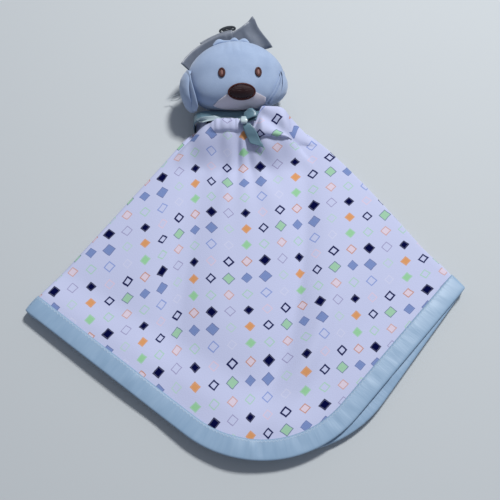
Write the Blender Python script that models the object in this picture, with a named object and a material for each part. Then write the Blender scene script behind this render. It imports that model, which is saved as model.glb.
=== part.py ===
"""Comfort blanket lovey: a small stuffed puppy head on a square printed blanket that lies folded in quarters.

Metres, +Z up. The toy lies on its back, with the head at +Y and the blanket's rounded corner at -Y. It is
modelled round the middle of its neck, and the whole is then moved so that the origin is under its box.
"""

import math

import bmesh
import bpy
import numpy as np
from mathutils import Matrix, Vector
from mathutils.bvhtree import BVHTree

# Clearances: between touching pieces, and from a rounded piece to the table
PIECE_GAP = 0.0003

# Blanket: one square of printed jersey with large round corners, folded in four
BLANKET_SIDE = 0.356
CORNER_RADIUS = 0.070
CLOTH_THICKNESS = 0.0005
CLOTH_GAP = 0.0005
LOWER_FOLD_INSET = 0.0020
OUTER_FOLD_BULGE = 0.0018
FOLD_LEFT_DEG = 225.5
FOLD_RIGHT_DEG = -40.4
FOLD_LEFT_SHARE = 0.989
FOLD_RIGHT_SHARE = 0.970
HEM_LEFT_DEG = -36.7
TOP_HEM_RIGHT_DEG = 228.0
LOWER_HEM_RIGHT_DEG = 232.0
LOWER_HEM_LEFT_DEG = -31.5

# Top layer: its swell, the valley down the left, the crease down the right and the ridge at the corner.
# A fold's place is the share of the way across the cloth, at the shoulders and at the hem.
SWELL_HEIGHT = 0.0046
VALLEY_DEPTH = 0.0042
VALLEY_WIDTH = 0.015
VALLEY_SHARES = (0.20, 0.30)
CREASE_DEPTH = 0.0036
CREASE_WIDTH = 0.011
CREASE_SHARES = (0.92, 0.46)
RIDGE_HEIGHT = 0.0030
RIDGE_WIDTH = 0.010
RIDGE_SHARES = (1.36, 0.46)
PUFF_HEIGHT = 0.0140
PUFF_RADIUS = 0.013
PUFF_X = 0.0210
PUFF_Y = -0.0085
GATHER_DEPTH = 0.0012
GATHER_PITCH = 0.0115

# Satin binding folded over the hem
BINDING_WIDTH = 0.0104
BINDING_THICKNESS = 0.0003
BINDING_SLOT_GAP = 0.0003
HEM_LAYER_GAP = 0.0004
HEM_RAMP = 0.024

# Neck: a flat stuffed tube that the middle of the blanket is gathered round
NECK_HALF_WIDTH = 0.0235
NECK_HALF_LENGTH = 0.0110
NECK_HALF_HEIGHT = 0.0067
NECK_RING_HALF_WIDTH = 0.0270
NECK_MARGIN = 0.0010
COLLAR_FALL = 0.030
COLLAR_SPREAD_SHARE = 0.9
SHOULDER_DROP = 0.0095
SHOULDER_LEFT = 0.0340
SHOULDER_RIGHT = 0.0385
SHOULDER_RIGHT_RISE = 0.0055
SHOULDER_RISE_START_SHARE = 0.82

# Ribbon tied round the neck
RIBBON_WIDTH = 0.0065
RIBBON_THICKNESS = 0.0004
RIBBON_LIFT = 0.0007
RIBBON_FEEL = 0.0022
TAIL_GATHER_SHARE = 0.6
BAND_TOP_CORNER = 0.0080
BAND_BOTTOM_CORNER = 0.0008
KNOT_X = 0.0036
KNOT_Y = -0.0038
KNOT_LENGTH = 0.0066
KNOT_WIDTH = 0.0058
KNOT_HEIGHT = 0.0044
KNOT_ROUND = 0.0015
LOOP_LENGTH = 0.0090
LOOP_OPENING = 0.0038
LOOP_DEG = 28.0
LOOP_WIDTH_SHARE = 0.85
TAIL_LENGTH = 0.0145
TAIL_DEG = -62.0
TAIL_CUT = 0.0034
LEFT_TAIL_LENGTH = 0.0260
LEFT_TAIL_DEG = 186.0
LEFT_TAIL_CUT = 0.0045

# Head: two velour panels round a ball of stuffing
HEAD_X = -0.0029
HEAD_Y = 0.0276
HEAD_HALF_WIDTH = 0.0315
HEAD_HALF_HEIGHT = 0.0229
HEAD_FRONT_DEPTH = 0.0200
HEAD_BACK_DEPTH = 0.0190
HEAD_YAW_DEG = 8.0
HEAD_PITCH_DEG = 18.0
HEAD_ROLL_DEG = 3.5
CHEEK_SQUARENESS = 0.8
CROWN_NARROWING_SHARE = 0.06
VELOUR_THICKNESS = 0.0010
MUZZLE_RISE = 0.0030
MUZZLE_RADIUS = 0.0085
MUZZLE_Y = -0.0135
NOD_Z = 0.0210

# Face
NOSE_X = 0.0003
NOSE_Y = -0.0140
NOSE_HALF_WIDTH = 0.0087
NOSE_HALF_HEIGHT = 0.0047
NOSE_RISE = 0.0018
NOSE_EDGE = 0.0006
NOSE_BORDER_WIDTH = 0.0012
NOSE_BORDER_RISE = 0.0010
PATCH_THICKNESS = 0.0005
PATCH_START_DEG = 205.0
PATCH_END_DEG = 329.0
PATCH_INNER_RADIUS = 0.0036
PATCH_EDGE_SHARE = 0.94
EYE_X = 0.0113
EYE_Y = -0.0026
EYE_HALF_WIDTH = 0.0021
EYE_HALF_HEIGHT = 0.0030
EYE_RIM = 0.0010
EYE_RISE = 0.0006

# Ears: two puffed plies each, sewn in at their upper end
EAR_ROOT_DEG = 2.0
EAR_TIP_DEG = -44.0
EAR_SPREAD_DEG = 25.0
EAR_STAND_OFF = 0.0028
EAR_TAPER_SHARE = 0.22
EAR_RIM = 0.0005
EAR_INNER_PUFF = 0.0015
EAR_OUTER_PUFF = 0.0030

# Gathered tucks that close the crown
TUCK_PITCH = 0.0058
TUCK_COUNT = 3
TUCK_HEIGHT = 0.0026
TUCK_HALF_DEPTH = 0.0026

# Plain satin tapes sewn in behind the crown: places are plan angles round the head's middle
TAPE_THICKNESS = 0.0004
TAPE_FOOT = 0.0130
TAPE_RISE = 0.0120
TAPE_LEAN = 0.0090
LEFT_TAPE_DEG = (95.0, 169.0)
SHORT_TAPE_DEG = (95.0, 136.0)
LEFT_TAPE_FLARE = 0.0005
RIGHT_TAPE_FOOT_DEG = (88.0, 50.0)
RIGHT_TAPE_TOP_DEG = (90.0, 75.0)
RIGHT_TAPE_FLARE = 0.0130
RIGHT_TAPE_TOP_FLARE = 0.0110

# Mesh steps. The lower layers' columns are counted left of the corner's arc, on the arc and right of it.
TOP_COLUMN_SHARES = (
    0.0, 0.075, 0.15, 0.225, 0.30, 0.338, 0.40, 0.46, 0.53, 0.60, 0.66, 0.715, 0.81, 0.905, 1.0,
)
LOWER_COLUMNS = (2, 4, 2)
FOLD_STEPS = 3
ROW_SHARES = (0.0, 0.06, 0.15, 0.26, 0.39, 0.53, 0.68, 0.84, 1.0)
DOME_SHARES = (0.4, 0.72, 0.92, 1.0)
EAR_SHARES = (0.35, 0.66, 0.88, 1.0)
HEAD_SEGMENTS = 36
FRONT_RINGS = 9
BACK_RINGS = 6
NOSE_SEGMENTS = 24
SMALL_SEGMENTS = 16
CURVE_STEPS = 8
FINE_STEP_SHARE = 0.002
FACE_TRIES = 6

# Sizes worked out from those above
HALF_SIDE = BLANKET_SIDE / 2
HALF_CLOTH = CLOTH_THICKNESS / 2
SKIN_OFFSET = HALF_CLOTH + BINDING_SLOT_GAP + BINDING_THICKNESS / 2
HEM_HALF = SKIN_OFFSET + BINDING_THICKNESS / 2
HEM_PITCH = 2 * HEM_HALF + HEM_LAYER_GAP
LAYER_PITCH = CLOTH_THICKNESS + CLOTH_GAP
BAND_HALF = RIBBON_WIDTH / 2
COLLAR_FRONT = -BAND_HALF - NECK_MARGIN
NECK_LAYER_BASE = RIBBON_THICKNESS + PIECE_GAP + HALF_CLOTH
NECK_MIDDLE_Z = NECK_LAYER_BASE + 2 * LAYER_PITCH + HALF_CLOTH + PIECE_GAP + NECK_HALF_HEIGHT
COLLAR_TOP = NECK_MIDDLE_Z + NECK_HALF_HEIGHT + PIECE_GAP + HALF_CLOTH
BAND_TOP = COLLAR_TOP + HALF_CLOTH + PIECE_GAP + RIBBON_THICKNESS / 2
KNOT_MIDDLE_Z = BAND_TOP + RIBBON_THICKNESS / 2 + PIECE_GAP + KNOT_HEIGHT / 2
HEAD_NOD = Matrix.Rotation(math.radians(HEAD_PITCH_DEG), 3, "X")
HEAD_LOOK = Matrix.Rotation(math.radians(HEAD_YAW_DEG), 3, "Y")
FACE_TURN = HEAD_NOD @ HEAD_LOOK @ Matrix.Rotation(math.radians(HEAD_ROLL_DEG), 3, "Z")


# Helpers


def clear_scene():
    for item in list(bpy.data.objects):
        bpy.data.objects.remove(item)


def material(name, colour, roughness, metallic=0.0):
    made = bpy.data.materials.new(name)
    made.use_nodes = True
    shader = made.node_tree.nodes["Principled BSDF"]
    shader.inputs["Base Color"].default_value = (*colour, 1.0)
    shader.inputs["Roughness"].default_value = roughness
    shader.inputs["Metallic"].default_value = metallic
    return made


def pivot(name, place, parent=None):
    """An empty on a joint's axis. What it carries is modelled in the neck's frame."""
    made = bpy.data.objects.new(name, None)
    bpy.context.collection.objects.link(made)
    made["place"] = tuple(place)
    made.parent = parent
    made.location = Vector(place) - (Vector(parent["place"]) if parent else Vector())
    return made


def add_object(name, shape, finish, carrier=None):
    """Turns a bmesh in the neck's frame into a named object, carried by a pivot where it moves."""
    bmesh.ops.recalc_face_normals(shape, faces=shape.faces)
    mesh = bpy.data.meshes.new(name)
    shape.to_mesh(mesh)
    shape.free()
    mesh.materials.append(finish)
    mesh.shade_smooth()
    made = bpy.data.objects.new(name, mesh)
    bpy.context.collection.objects.link(made)
    if carrier:
        mesh.transform(Matrix.Translation(-Vector(carrier["place"])))
        made.parent = carrier
    return made


def thicken(item, thickness):
    solidify = item.modifiers.new("thickness", "SOLIDIFY")
    solidify.thickness = thickness
    solidify.offset = 0.0
    solidify.use_even_offset = True


def surface_of(*items):
    """A tree of the items' surfaces in the neck's frame, for laying other pieces on them."""
    bpy.context.view_layer.update()
    graph = bpy.context.evaluated_depsgraph_get()
    points = []
    faces = []
    for item in items:
        mesh = item.evaluated_get(graph).to_mesh()
        first = len(points)
        points.extend(item.matrix_world @ vertex.co for vertex in mesh.vertices)
        faces.extend([first + number for number in face.vertices] for face in mesh.polygons)
    return BVHTree.FromPolygons(points, faces)


def grid_mesh(points, closed_rows=False, closed_columns=False):
    """A sheet of quads through points[row][column]."""
    shape = bmesh.new()
    grid = [[shape.verts.new(point) for point in row] for row in points]
    rows = len(grid)
    columns = len(grid[0])
    for row in range(rows if closed_rows else rows - 1):
        for column in range(columns if closed_columns else columns - 1):
            after = (row + 1) % rows
            beside = (column + 1) % columns
            shape.faces.new((grid[row][column], grid[row][beside], grid[after][beside], grid[after][column]))
    return shape


def fill_rings(shape, centre, rings):
    """Fills rings round one centre point, and returns the outermost ring's vertices."""
    middle = shape.verts.new(centre)
    inner = None
    for ring in rings:
        outer = [shape.verts.new(point) for point in ring]
        for number, vertex in enumerate(outer):
            following = (number + 1) % len(outer)
            if inner is None:
                shape.faces.new((middle, vertex, outer[following]))
            else:
                shape.faces.new((inner[number], vertex, outer[following], inner[following]))
        inner = outer
    return inner


def join_rings(shape, one, other):
    for number, vertex in enumerate(one):
        following = (number + 1) % len(one)
        shape.faces.new((vertex, one[following], other[following], other[number]))


def cushion_mesh(middle_low, middle_high, low_rings, high_rings):
    """A closed pad between two stacks of rings."""
    shape = bmesh.new()
    upper = fill_rings(shape, middle_high, high_rings)
    lower = fill_rings(shape, middle_low, low_rings)
    join_rings(shape, upper, lower)
    return shape


def slab_mesh(low, high):
    """A closed slab between two grids of points."""
    shape = bmesh.new()
    bottom = [[shape.verts.new(point) for point in row] for row in low]
    top = [[shape.verts.new(point) for point in row] for row in high]
    rows = len(low)
    columns = len(low[0])
    for grid in (bottom, top):
        for row in range(rows - 1):
            for column in range(columns - 1):
                near = (grid[row][column], grid[row + 1][column])
                far = (grid[row + 1][column + 1], grid[row][column + 1])
                shape.faces.new((*near, *far))
    rim = [(0, column) for column in range(columns)]
    rim += [(row, columns - 1) for row in range(1, rows)]
    rim += [(rows - 1, column) for column in range(columns - 2, -1, -1)]
    rim += [(row, 0) for row in range(rows - 2, 0, -1)]
    for number, (row, column) in enumerate(rim):
        next_row, next_column = rim[(number + 1) % len(rim)]
        outer = (bottom[row][column], bottom[next_row][next_column])
        shape.faces.new((*outer, top[next_row][next_column], top[row][column]))
    return shape


def direction(degrees):
    return np.array((math.cos(math.radians(degrees)), math.sin(math.radians(degrees))))


def smooth(value):
    value = min(max(value, 0.0), 1.0)
    return value * value * (3 - 2 * value)


def bell(distance, width):
    return math.exp(-((distance / width) ** 2))


def blend(start, end, share):
    return start + (end - start) * share


def crossing(start, start_way, end, end_way):
    """Where two lines in plan meet."""
    along = np.linalg.solve(np.array((start_way, -end_way)).T, end - start)[0]
    return start + along * start_way


# Blanket


class Layer:
    """One quarter of the folded blanket in plan: number 1 on top to number 4 on the table."""

    def __init__(self, number):
        self.beneath = 4 - number
        top = number == 1
        inset = LOWER_FOLD_INSET if number in (2, 3) else 0.0
        left_way = direction(FOLD_LEFT_DEG)
        self.left = HALF_SIDE * FOLD_LEFT_SHARE * left_way + inset * direction(FOLD_LEFT_DEG + 90)
        self.right = HALF_SIDE * FOLD_RIGHT_SHARE * direction(FOLD_RIGHT_DEG)
        hem_left = direction(HEM_LEFT_DEG if top else LOWER_HEM_LEFT_DEG)
        hem_right = direction(TOP_HEM_RIGHT_DEG if top else LOWER_HEM_RIGHT_DEG)
        self.corner = crossing(self.left, hem_left, self.right, hem_right)
        self.neck_left = inset - NECK_RING_HALF_WIDTH
        self.shoulder_left = np.array((inset - SHOULDER_LEFT, -SHOULDER_DROP))
        self.shoulder_right = np.array((SHOULDER_RIGHT, -SHOULDER_DROP))
        self.measure_hem()

    def measure_hem(self):
        into_left = self.left - self.corner
        into_right = self.right - self.corner
        self.left_length = np.linalg.norm(into_left)
        self.right_length = np.linalg.norm(into_right)
        self.into_left = into_left / self.left_length
        self.into_right = into_right / self.right_length
        half_angle = math.acos(float(self.into_left @ self.into_right)) / 2
        self.tangent = CORNER_RADIUS / math.tan(half_angle)
        middle = self.into_left + self.into_right
        middle = middle / np.linalg.norm(middle)
        self.arc_centre = self.corner + middle * CORNER_RADIUS / math.sin(half_angle)
        self.arc_start = self.corner + self.into_left * self.tangent - self.arc_centre
        self.arc_length = CORNER_RADIUS * (math.pi - 2 * half_angle)
        self.hem_length = self.left_length + self.right_length - 2 * self.tangent + self.arc_length

    def hem(self, share):
        """The hem's point at a share of its length from the left fold, and the way into the cloth there."""
        along = share * self.hem_length
        straight = self.left_length - self.tangent
        if along <= straight:
            inward = np.array((self.into_left[1], -self.into_left[0]))
            return self.left - self.into_left * along, inward
        along -= straight
        if along <= self.arc_length:
            turn = along / CORNER_RADIUS
            across = np.array((-self.arc_start[1], self.arc_start[0]))
            spoke = self.arc_start * math.cos(turn) + across * math.sin(turn)
            return self.arc_centre + spoke, -spoke / CORNER_RADIUS
        along -= self.arc_length
        inward = np.array((-self.into_right[1], self.into_right[0]))
        return self.corner + self.into_right * (self.tangent + along), inward

    def column_shares(self, counts):
        """Shares of the way along the hem, with the wanted columns on each straight and on the arc."""
        arc_start = (self.left_length - self.tangent) / self.hem_length
        arc_end = arc_start + self.arc_length / self.hem_length
        shares = [0.0]
        for count, end in zip(counts, (arc_start, arc_end, 1.0)):
            start = shares[-1]
            shares.extend(blend(start, end, step / count) for step in range(1, count))
            shares.append(end)
        return shares

    def plan(self, share):
        """Plan points from under the neck ribbon to the hem, at one share of the way from left to right."""
        ring = blend(self.neck_left, NECK_RING_HALF_WIDTH, share)
        shoulder = blend(self.shoulder_left, self.shoulder_right, share)
        rise = (share - SHOULDER_RISE_START_SHARE) / (1 - SHOULDER_RISE_START_SHARE)
        shoulder = shoulder + (0.0, SHOULDER_RIGHT_RISE * smooth(rise))
        place, inward = self.hem(share)
        if share in (0.0, 1.0):
            inward = (shoulder - place) / np.linalg.norm(shoulder - place)
        seam = place + inward * BINDING_WIDTH
        points = [np.array((ring, BAND_HALF)), np.array((ring, COLLAR_FRONT))]
        points.extend(blend(shoulder, seam, row) for row in ROW_SHARES)
        points.append(place + inward * PIECE_GAP)
        return points

    def depth_inside(self, point):
        """How far a plan point lies inside the hem, or outside it where negative."""
        away = point - self.corner
        if max(away @ self.into_left, away @ self.into_right) < self.tangent:
            return CORNER_RADIUS - float(np.linalg.norm(point - self.arc_centre))
        from_left = away @ np.array((self.into_left[1], -self.into_left[0]))
        from_right = away @ np.array((-self.into_right[1], self.into_right[0]))
        return float(min(from_left, from_right))

    def level(self, point, seam_distance):
        """The layer's height where nothing lifts it: raised at the neck ribbon, flat, up at the binding."""
        flat = HALF_CLOTH + self.beneath * LAYER_PITCH
        neck = NECK_LAYER_BASE + self.beneath * LAYER_PITCH
        hem = HEM_HALF + self.beneath * HEM_PITCH
        near_neck = 1 - smooth((COLLAR_FRONT - point[1]) / COLLAR_FALL)
        near_hem = 1 - smooth(seam_distance / HEM_RAMP)
        return flat + (neck - flat) * near_neck + (hem - flat) * near_hem


def collar_lift(layer, share, point):
    """The top layer's rise over the stuffed neck, with its gathers and the puff beside the knot."""
    ahead = max(0.0, COLLAR_FRONT - point[1])
    fade = min(1.0, ahead / COLLAR_FALL)
    fall = math.cos(math.pi / 2 * fade) ** 2
    half_width = NECK_RING_HALF_WIDTH + COLLAR_SPREAD_SHARE * ahead
    flank = max(0.0, 1 - abs(point[0] / half_width) ** blend(8, 2, fade))
    edge = math.sin(math.pi * share)
    rise = (COLLAR_TOP - NECK_LAYER_BASE - layer.beneath * LAYER_PITCH) * flank * fall
    rise += GATHER_DEPTH * math.sin(2 * math.pi * point[0] / GATHER_PITCH) * flank * fall * fade * 4
    reach = math.hypot(point[0] - PUFF_X, point[1] - PUFF_Y)
    return rise + PUFF_HEIGHT * bell(reach, PUFF_RADIUS) * min(1.0, 2 * edge) * (1 - flank * fall)


def fold_lift(share, row_share, width, seam_distance):
    """The top layer's swell with the main folds that the hand left in it."""
    edge = math.sin(math.pi * share) ** 0.7
    near_hem = blend(0.35, 1.0, smooth(seam_distance / (2 * HEM_RAMP)))
    valley = bell((share - blend(*VALLEY_SHARES, row_share)) * width, VALLEY_WIDTH)
    crease = bell((share - blend(*CREASE_SHARES, row_share)) * width, CREASE_WIDTH)
    ridge = bell((share - blend(*RIDGE_SHARES, row_share)) * width, RIDGE_WIDTH)
    lift = SWELL_HEIGHT - VALLEY_DEPTH * valley - CREASE_DEPTH * crease * smooth(4 * (1 - row_share))
    lift += RIDGE_HEIGHT * ridge * smooth(2 * row_share - 0.8)
    return lift * edge * near_hem * smooth(4 * row_share)


def layer_columns(layer, shares):
    columns = []
    for share in shares:
        column = []
        for row, point in enumerate(layer.plan(share)):
            height = layer.level(point, seam_distance(layer, share, row))
            column.append(np.array((point[0], point[1], height)))
        columns.append(column)
    return columns


def seam_distance(layer, share, row):
    """How far a row's point lies from the binding's seam."""
    plan = layer.plan(share)
    return 0.0 if row == len(plan) - 1 else float(np.linalg.norm(plan[row] - plan[-2]))


def top_columns(layer, below):
    """The top layer's columns, which run along its valley and its crease. It clears the hem below it."""
    left = layer.plan(0.0)
    right = layer.plan(1.0)
    hem_places = (0.0, VALLEY_SHARES[1], CREASE_SHARES[1], 1.0)
    columns = []
    for column_share in TOP_COLUMN_SHARES:
        column = []
        for row in range(len(left)):
            row_share = ROW_SHARES[min(max(row - 2, 0), len(ROW_SHARES) - 1)]
            places = (0.0, blend(*VALLEY_SHARES, row_share), blend(*CREASE_SHARES, row_share), 1.0)
            share = float(np.interp(column_share, hem_places, places))
            point = layer.plan(share)[row]
            width = float(np.linalg.norm(right[row] - left[row]))
            over_seam = max(0.0, below.depth_inside(point) - BINDING_WIDTH)
            distance = min(seam_distance(layer, share, row), over_seam)
            height = layer.level(point, distance) + collar_lift(layer, share, point)
            height += fold_lift(share, row_share, width, distance)
            column.append(np.array((point[0], point[1], height)))
        columns.append(column)
    return columns


def fold_columns(upper, lower, way, bulge=None):
    """The cloth's turn from one layer's edge to another's, as a half round outside them."""
    way = np.array((way[0], way[1], 0.0))
    sideways = np.array((math.copysign(1.0, way[0]), 0.0, 0.0))
    columns = []
    for step in range(1, FOLD_STEPS):
        angle = math.pi * step / FOLD_STEPS
        column = []
        for row, (one, other) in enumerate(zip(upper, lower)):
            half = (one - other) / 2
            reach = (bulge or np.linalg.norm(half)) * math.sin(angle)
            middle = (one + other) / 2 + half * math.cos(angle)
            column.append(middle + (sideways if row < 2 else way) * reach)
        columns.append(column)
    return columns


def blanket_columns():
    """The columns of the folded square, once round: layers 1, 2, 3, 4 and the folds that join them."""
    right_way = direction(FOLD_RIGHT_DEG + 90)
    left_way = direction(FOLD_LEFT_DEG - 90)
    top = top_columns(Layer(1), Layer(2))
    lower = [Layer(number) for number in (2, 3, 4)]
    second, third, bottom = (layer_columns(layer, layer.column_shares(LOWER_COLUMNS)) for layer in lower)
    around = top + fold_columns(top[-1], second[-1], right_way)
    around += second[::-1] + fold_columns(second[0], third[0], left_way)
    around += third + fold_columns(third[-1], bottom[-1], right_way)
    around += bottom[::-1] + fold_columns(bottom[0], top[0], left_way, OUTER_FOLD_BULGE)
    return np.array(around)


def make_blanket(finishes):
    points = blanket_columns()
    cloth = add_object("blanket_cloth", grid_mesh(points, closed_rows=True), finishes["jersey"])
    thicken(cloth, CLOTH_THICKNESS)
    across = np.roll(points, -1, axis=0) - np.roll(points, 1, axis=0)
    normals = np.cross(np.gradient(points, axis=1), across)
    normals = normals / np.linalg.norm(normals, axis=2, keepdims=True) * SKIN_OFFSET
    seam = points[:, -2]
    hem = points[:, -1]
    outward = hem - seam
    outward = outward / np.linalg.norm(outward, axis=1, keepdims=True)
    fold = hem + outward * (SKIN_OFFSET + PIECE_GAP)
    section = (seam + normals[:, -2], hem + normals[:, -1], fold, hem - normals[:, -1], seam - normals[:, -2])
    binding = grid_mesh(np.stack(section, axis=1), closed_rows=True)
    thicken(add_object("blanket_binding", binding, finishes["satin"]), BINDING_THICKNESS)
    return cloth


# Neck and ribbon


def make_neck(finish, head_form):
    """A flat stuffed stub between the head and the blanket's middle, hollowed where the head rests."""
    shape = bmesh.new()
    size = Matrix.Diagonal((NECK_HALF_WIDTH, NECK_HALF_LENGTH, NECK_HALF_HEIGHT, 1.0))
    place = Matrix.Translation((0.0, 0.0, NECK_MIDDLE_Z))
    bmesh.ops.create_uvsphere(shape, u_segments=24, v_segments=12, radius=1.0, matrix=place @ size)
    core = add_object("neck_core", shape, finish)
    cut = core.modifiers.new("head_seat", "BOOLEAN")
    cut.operation = "DIFFERENCE"
    cut.object = head_form


def band_outline():
    """Points round the neck band, seen from the front: a box with large upper and small lower corners."""
    side = LAYER_PITCH / 2 + HALF_CLOTH + PIECE_GAP + RIBBON_THICKNESS / 2
    right = NECK_RING_HALF_WIDTH + side
    left = -NECK_RING_HALF_WIDTH - side - OUTER_FOLD_BULGE
    low = RIBBON_THICKNESS / 2
    corners = (
        (right - BAND_BOTTOM_CORNER, low + BAND_BOTTOM_CORNER, BAND_BOTTOM_CORNER, -90),
        (right - BAND_TOP_CORNER, BAND_TOP - BAND_TOP_CORNER, BAND_TOP_CORNER, 0),
        (left + BAND_TOP_CORNER, BAND_TOP - BAND_TOP_CORNER, BAND_TOP_CORNER, 90),
        (left + BAND_BOTTOM_CORNER, low + BAND_BOTTOM_CORNER, BAND_BOTTOM_CORNER, 180),
    )
    outline = []
    for x, z, radius, start in corners:
        for step in range(CURVE_STEPS // 2 + 1):
            spoke = direction(start + 90 * step / (CURVE_STEPS // 2)) * radius
            outline.append((x + spoke[0], z + spoke[1]))
    return outline


def make_band(finish):
    outline = band_outline()
    rows = [[(x, y, z) for x, z in outline] for y in (-BAND_HALF, BAND_HALF)]
    band = add_object("ribbon_band", grid_mesh(rows, closed_columns=True), finish)
    thicken(band, RIBBON_THICKNESS)
    return band


def make_knot(finish):
    shape = bmesh.new()
    size = Matrix.Diagonal((KNOT_LENGTH, KNOT_WIDTH, KNOT_HEIGHT, 1.0))
    place = Matrix.Translation((KNOT_X, KNOT_Y, KNOT_MIDDLE_Z))
    bmesh.ops.create_cube(shape, size=1.0, matrix=place @ size)
    knot = add_object("ribbon_knot", shape, finish)
    rounding = knot.modifiers.new("rounding", "BEVEL")
    rounding.width = KNOT_ROUND
    rounding.segments = 3
    rounding.limit_method = "NONE"


def make_loop(finish):
    """The bow's one loop, standing beside the knot."""
    way = direction(LOOP_DEG)
    root_x = KNOT_X + KNOT_LENGTH / 2 + PIECE_GAP + RIBBON_THICKNESS / 2
    half_width = BAND_HALF * LOOP_WIDTH_SHARE
    rows = []
    steps = 2 * CURVE_STEPS
    for step in range(steps + 1):
        angle = math.radians(blend(-162, 162, step / steps))
        along = LOOP_LENGTH / 2 * (1 + math.cos(angle))
        height = KNOT_MIDDLE_Z + LOOP_OPENING / 2 * math.sin(angle)
        place = (root_x + way[0] * along, KNOT_Y + way[1] * along)
        rows.append([(place[0], place[1] + side * half_width, height) for side in (-1, 0, 1)])
    thicken(add_object("ribbon_loop", grid_mesh(rows), finish), RIBBON_THICKNESS)


def lay_tail(name, root, across, heading, length, cut, ground, finish, carrier):
    """A free ribbon end: it leaves the knot level and comes down onto what is beneath, cut at a slant."""
    way = direction(heading)
    rows = []
    for step in range(CURVE_STEPS + 1):
        share = step / CURVE_STEPS
        spread = blend(TAIL_GATHER_SHARE, 1.0, smooth(3 * share))
        row = []
        for side in (-spread, 0, spread):
            along = share * (length + side * cut / 2)
            x = root[0] + way[0] * along + across[0] * side
            y = root[1] + way[1] * along + across[1] * side
            rest = lying_height(ground, x, y)
            height = blend(root[2], rest, smooth(1.5 * share))
            row.append((x, y, max(height, rest)))
        rows.append(row)
    thicken(add_object(name, grid_mesh(rows), finish, carrier), RIBBON_THICKNESS)


def lying_height(ground, x, y):
    """How high a ribbon lies at a place in plan: over the highest thing that it feels close by."""
    highest = 0.0
    for shift_x, shift_y in ((0, 0), (1, 0), (-1, 0), (0, 1), (0, -1)):
        start = Vector((x + shift_x * RIBBON_FEEL, y + shift_y * RIBBON_FEEL, BLANKET_SIDE))
        hit = ground.ray_cast(start, Vector((0.0, 0.0, -1.0)))[0]
        if hit:
            highest = max(highest, hit.z)
    return highest + RIBBON_LIFT


def make_bow(finish, ground):
    make_knot(finish)
    make_loop(finish)
    front = (KNOT_X, KNOT_Y - KNOT_WIDTH / 2 - PIECE_GAP, KNOT_MIDDLE_Z)
    carrier = pivot("ribbon_tail_right_pivot", front)
    slant = BAND_HALF / abs(math.sin(math.radians(TAIL_DEG)))
    lay_tail(
        "ribbon_tail_right", front, (slant, 0.0), TAIL_DEG, TAIL_LENGTH, TAIL_CUT, ground, finish, carrier
    )
    side = (KNOT_X - KNOT_LENGTH / 2 - PIECE_GAP, KNOT_Y, KNOT_MIDDLE_Z)
    carrier = pivot("ribbon_tail_left_pivot", side)
    lay_tail(
        "ribbon_tail_left",
        side,
        (0.0, BAND_HALF),
        LEFT_TAIL_DEG,
        LEFT_TAIL_LENGTH,
        LEFT_TAIL_CUT,
        ground,
        finish,
        carrier,
    )


# Head


def head_surface(unit, inset=0.0):
    """The head's point in its own frame for a direction on the unit sphere, a little inside if asked."""
    depth = HEAD_FRONT_DEPTH if unit[2] > 0 else HEAD_BACK_DEPTH
    radii = np.array((HEAD_HALF_WIDTH, HEAD_HALF_HEIGHT, depth))
    normal = unit / radii
    power = 2 + CHEEK_SQUARENESS * smooth(-1.4 * unit[1]) * smooth(1 + unit[2])
    fullness = float((np.abs(unit) ** power).sum()) ** (-1 / power)
    narrow = (1 - CROWN_NARROWING_SHARE * smooth(1.2 * unit[1]), 1.0, 1.0)
    place = radii * unit * fullness * narrow - inset * normal / np.linalg.norm(normal)
    reach = math.hypot(place[0], place[1] - MUZZLE_Y)
    place[2] += MUZZLE_RISE * bell(reach, MUZZLE_RADIUS) * smooth(2 * unit[2])
    return place


def head_centre():
    """The head's middle, high enough for its lowest point to clear the table."""
    lowest = 0.0
    for pitch in range(0, 360, 5):
        for turn in range(90, 181, 5):
            way = direction(pitch) * math.sin(math.radians(turn))
            unit = np.array((way[0], way[1], math.cos(math.radians(turn))))
            lowest = min(lowest, (FACE_TURN @ Vector(head_surface(unit))).z)
    return Vector((HEAD_X, HEAD_Y, PIECE_GAP - lowest))


HEAD_CENTRE = head_centre()


def head_world(place):
    return HEAD_CENTRE + FACE_TURN @ Vector(place)


def above_head(x, z, lift):
    """A point over the head's crown, at x and z in its own frame, lifted along its surface's normal."""
    depth = HEAD_FRONT_DEPTH if z > 0 else HEAD_BACK_DEPTH
    across = (x / HEAD_HALF_WIDTH, z / depth)
    unit = np.array((across[0], math.sqrt(1 - across[0] ** 2 - across[1] ** 2), across[1]))
    return lifted(unit, lift)


def over_face(x, y, lift):
    """A point over the face, at x and y in the head's frame, lifted along its surface's normal."""
    wanted = np.array((x, y))
    across = wanted / (HEAD_HALF_WIDTH, HEAD_HALF_HEIGHT)
    for _ in range(FACE_TRIES):
        unit = np.array((*across, math.sqrt(max(0.0, 1 - float(across @ across)))))
        across = across + (wanted - head_surface(unit)[:2]) / (HEAD_HALF_WIDTH, HEAD_HALF_HEIGHT)
    unit = np.array((*across, math.sqrt(max(0.0, 1 - float(across @ across)))))
    return lifted(unit, lift)


def lifted(unit, lift):
    """Two short steps along the surface give the normal, so that it follows the muzzle too."""
    side = np.cross(unit, (0.0, 0.6, 0.8) if abs(unit[0]) > 0.5 else (1.0, 0.0, 0.0))
    side = side / np.linalg.norm(side)
    other = np.cross(unit, side)
    here = head_surface(unit)
    steps = []
    for way in (side, other):
        moved = unit + way * FINE_STEP_SHARE
        steps.append(head_surface(moved / np.linalg.norm(moved)) - here)
    normal = np.cross(*steps)
    normal = normal / np.linalg.norm(normal)
    return head_world(here + lift * normal * math.copysign(1.0, float(normal @ unit)))


def head_ring(angle, side, inset=0.0):
    """A ring of the head at an angle from the middle of the face, or of the back where side is -1."""
    ring = []
    for number in range(HEAD_SEGMENTS):
        way = direction(360 * number / HEAD_SEGMENTS) * math.sin(angle)
        unit = np.array((way[0], way[1], side * math.cos(angle)))
        ring.append(head_world(head_surface(unit, inset)))
    return ring


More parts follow.
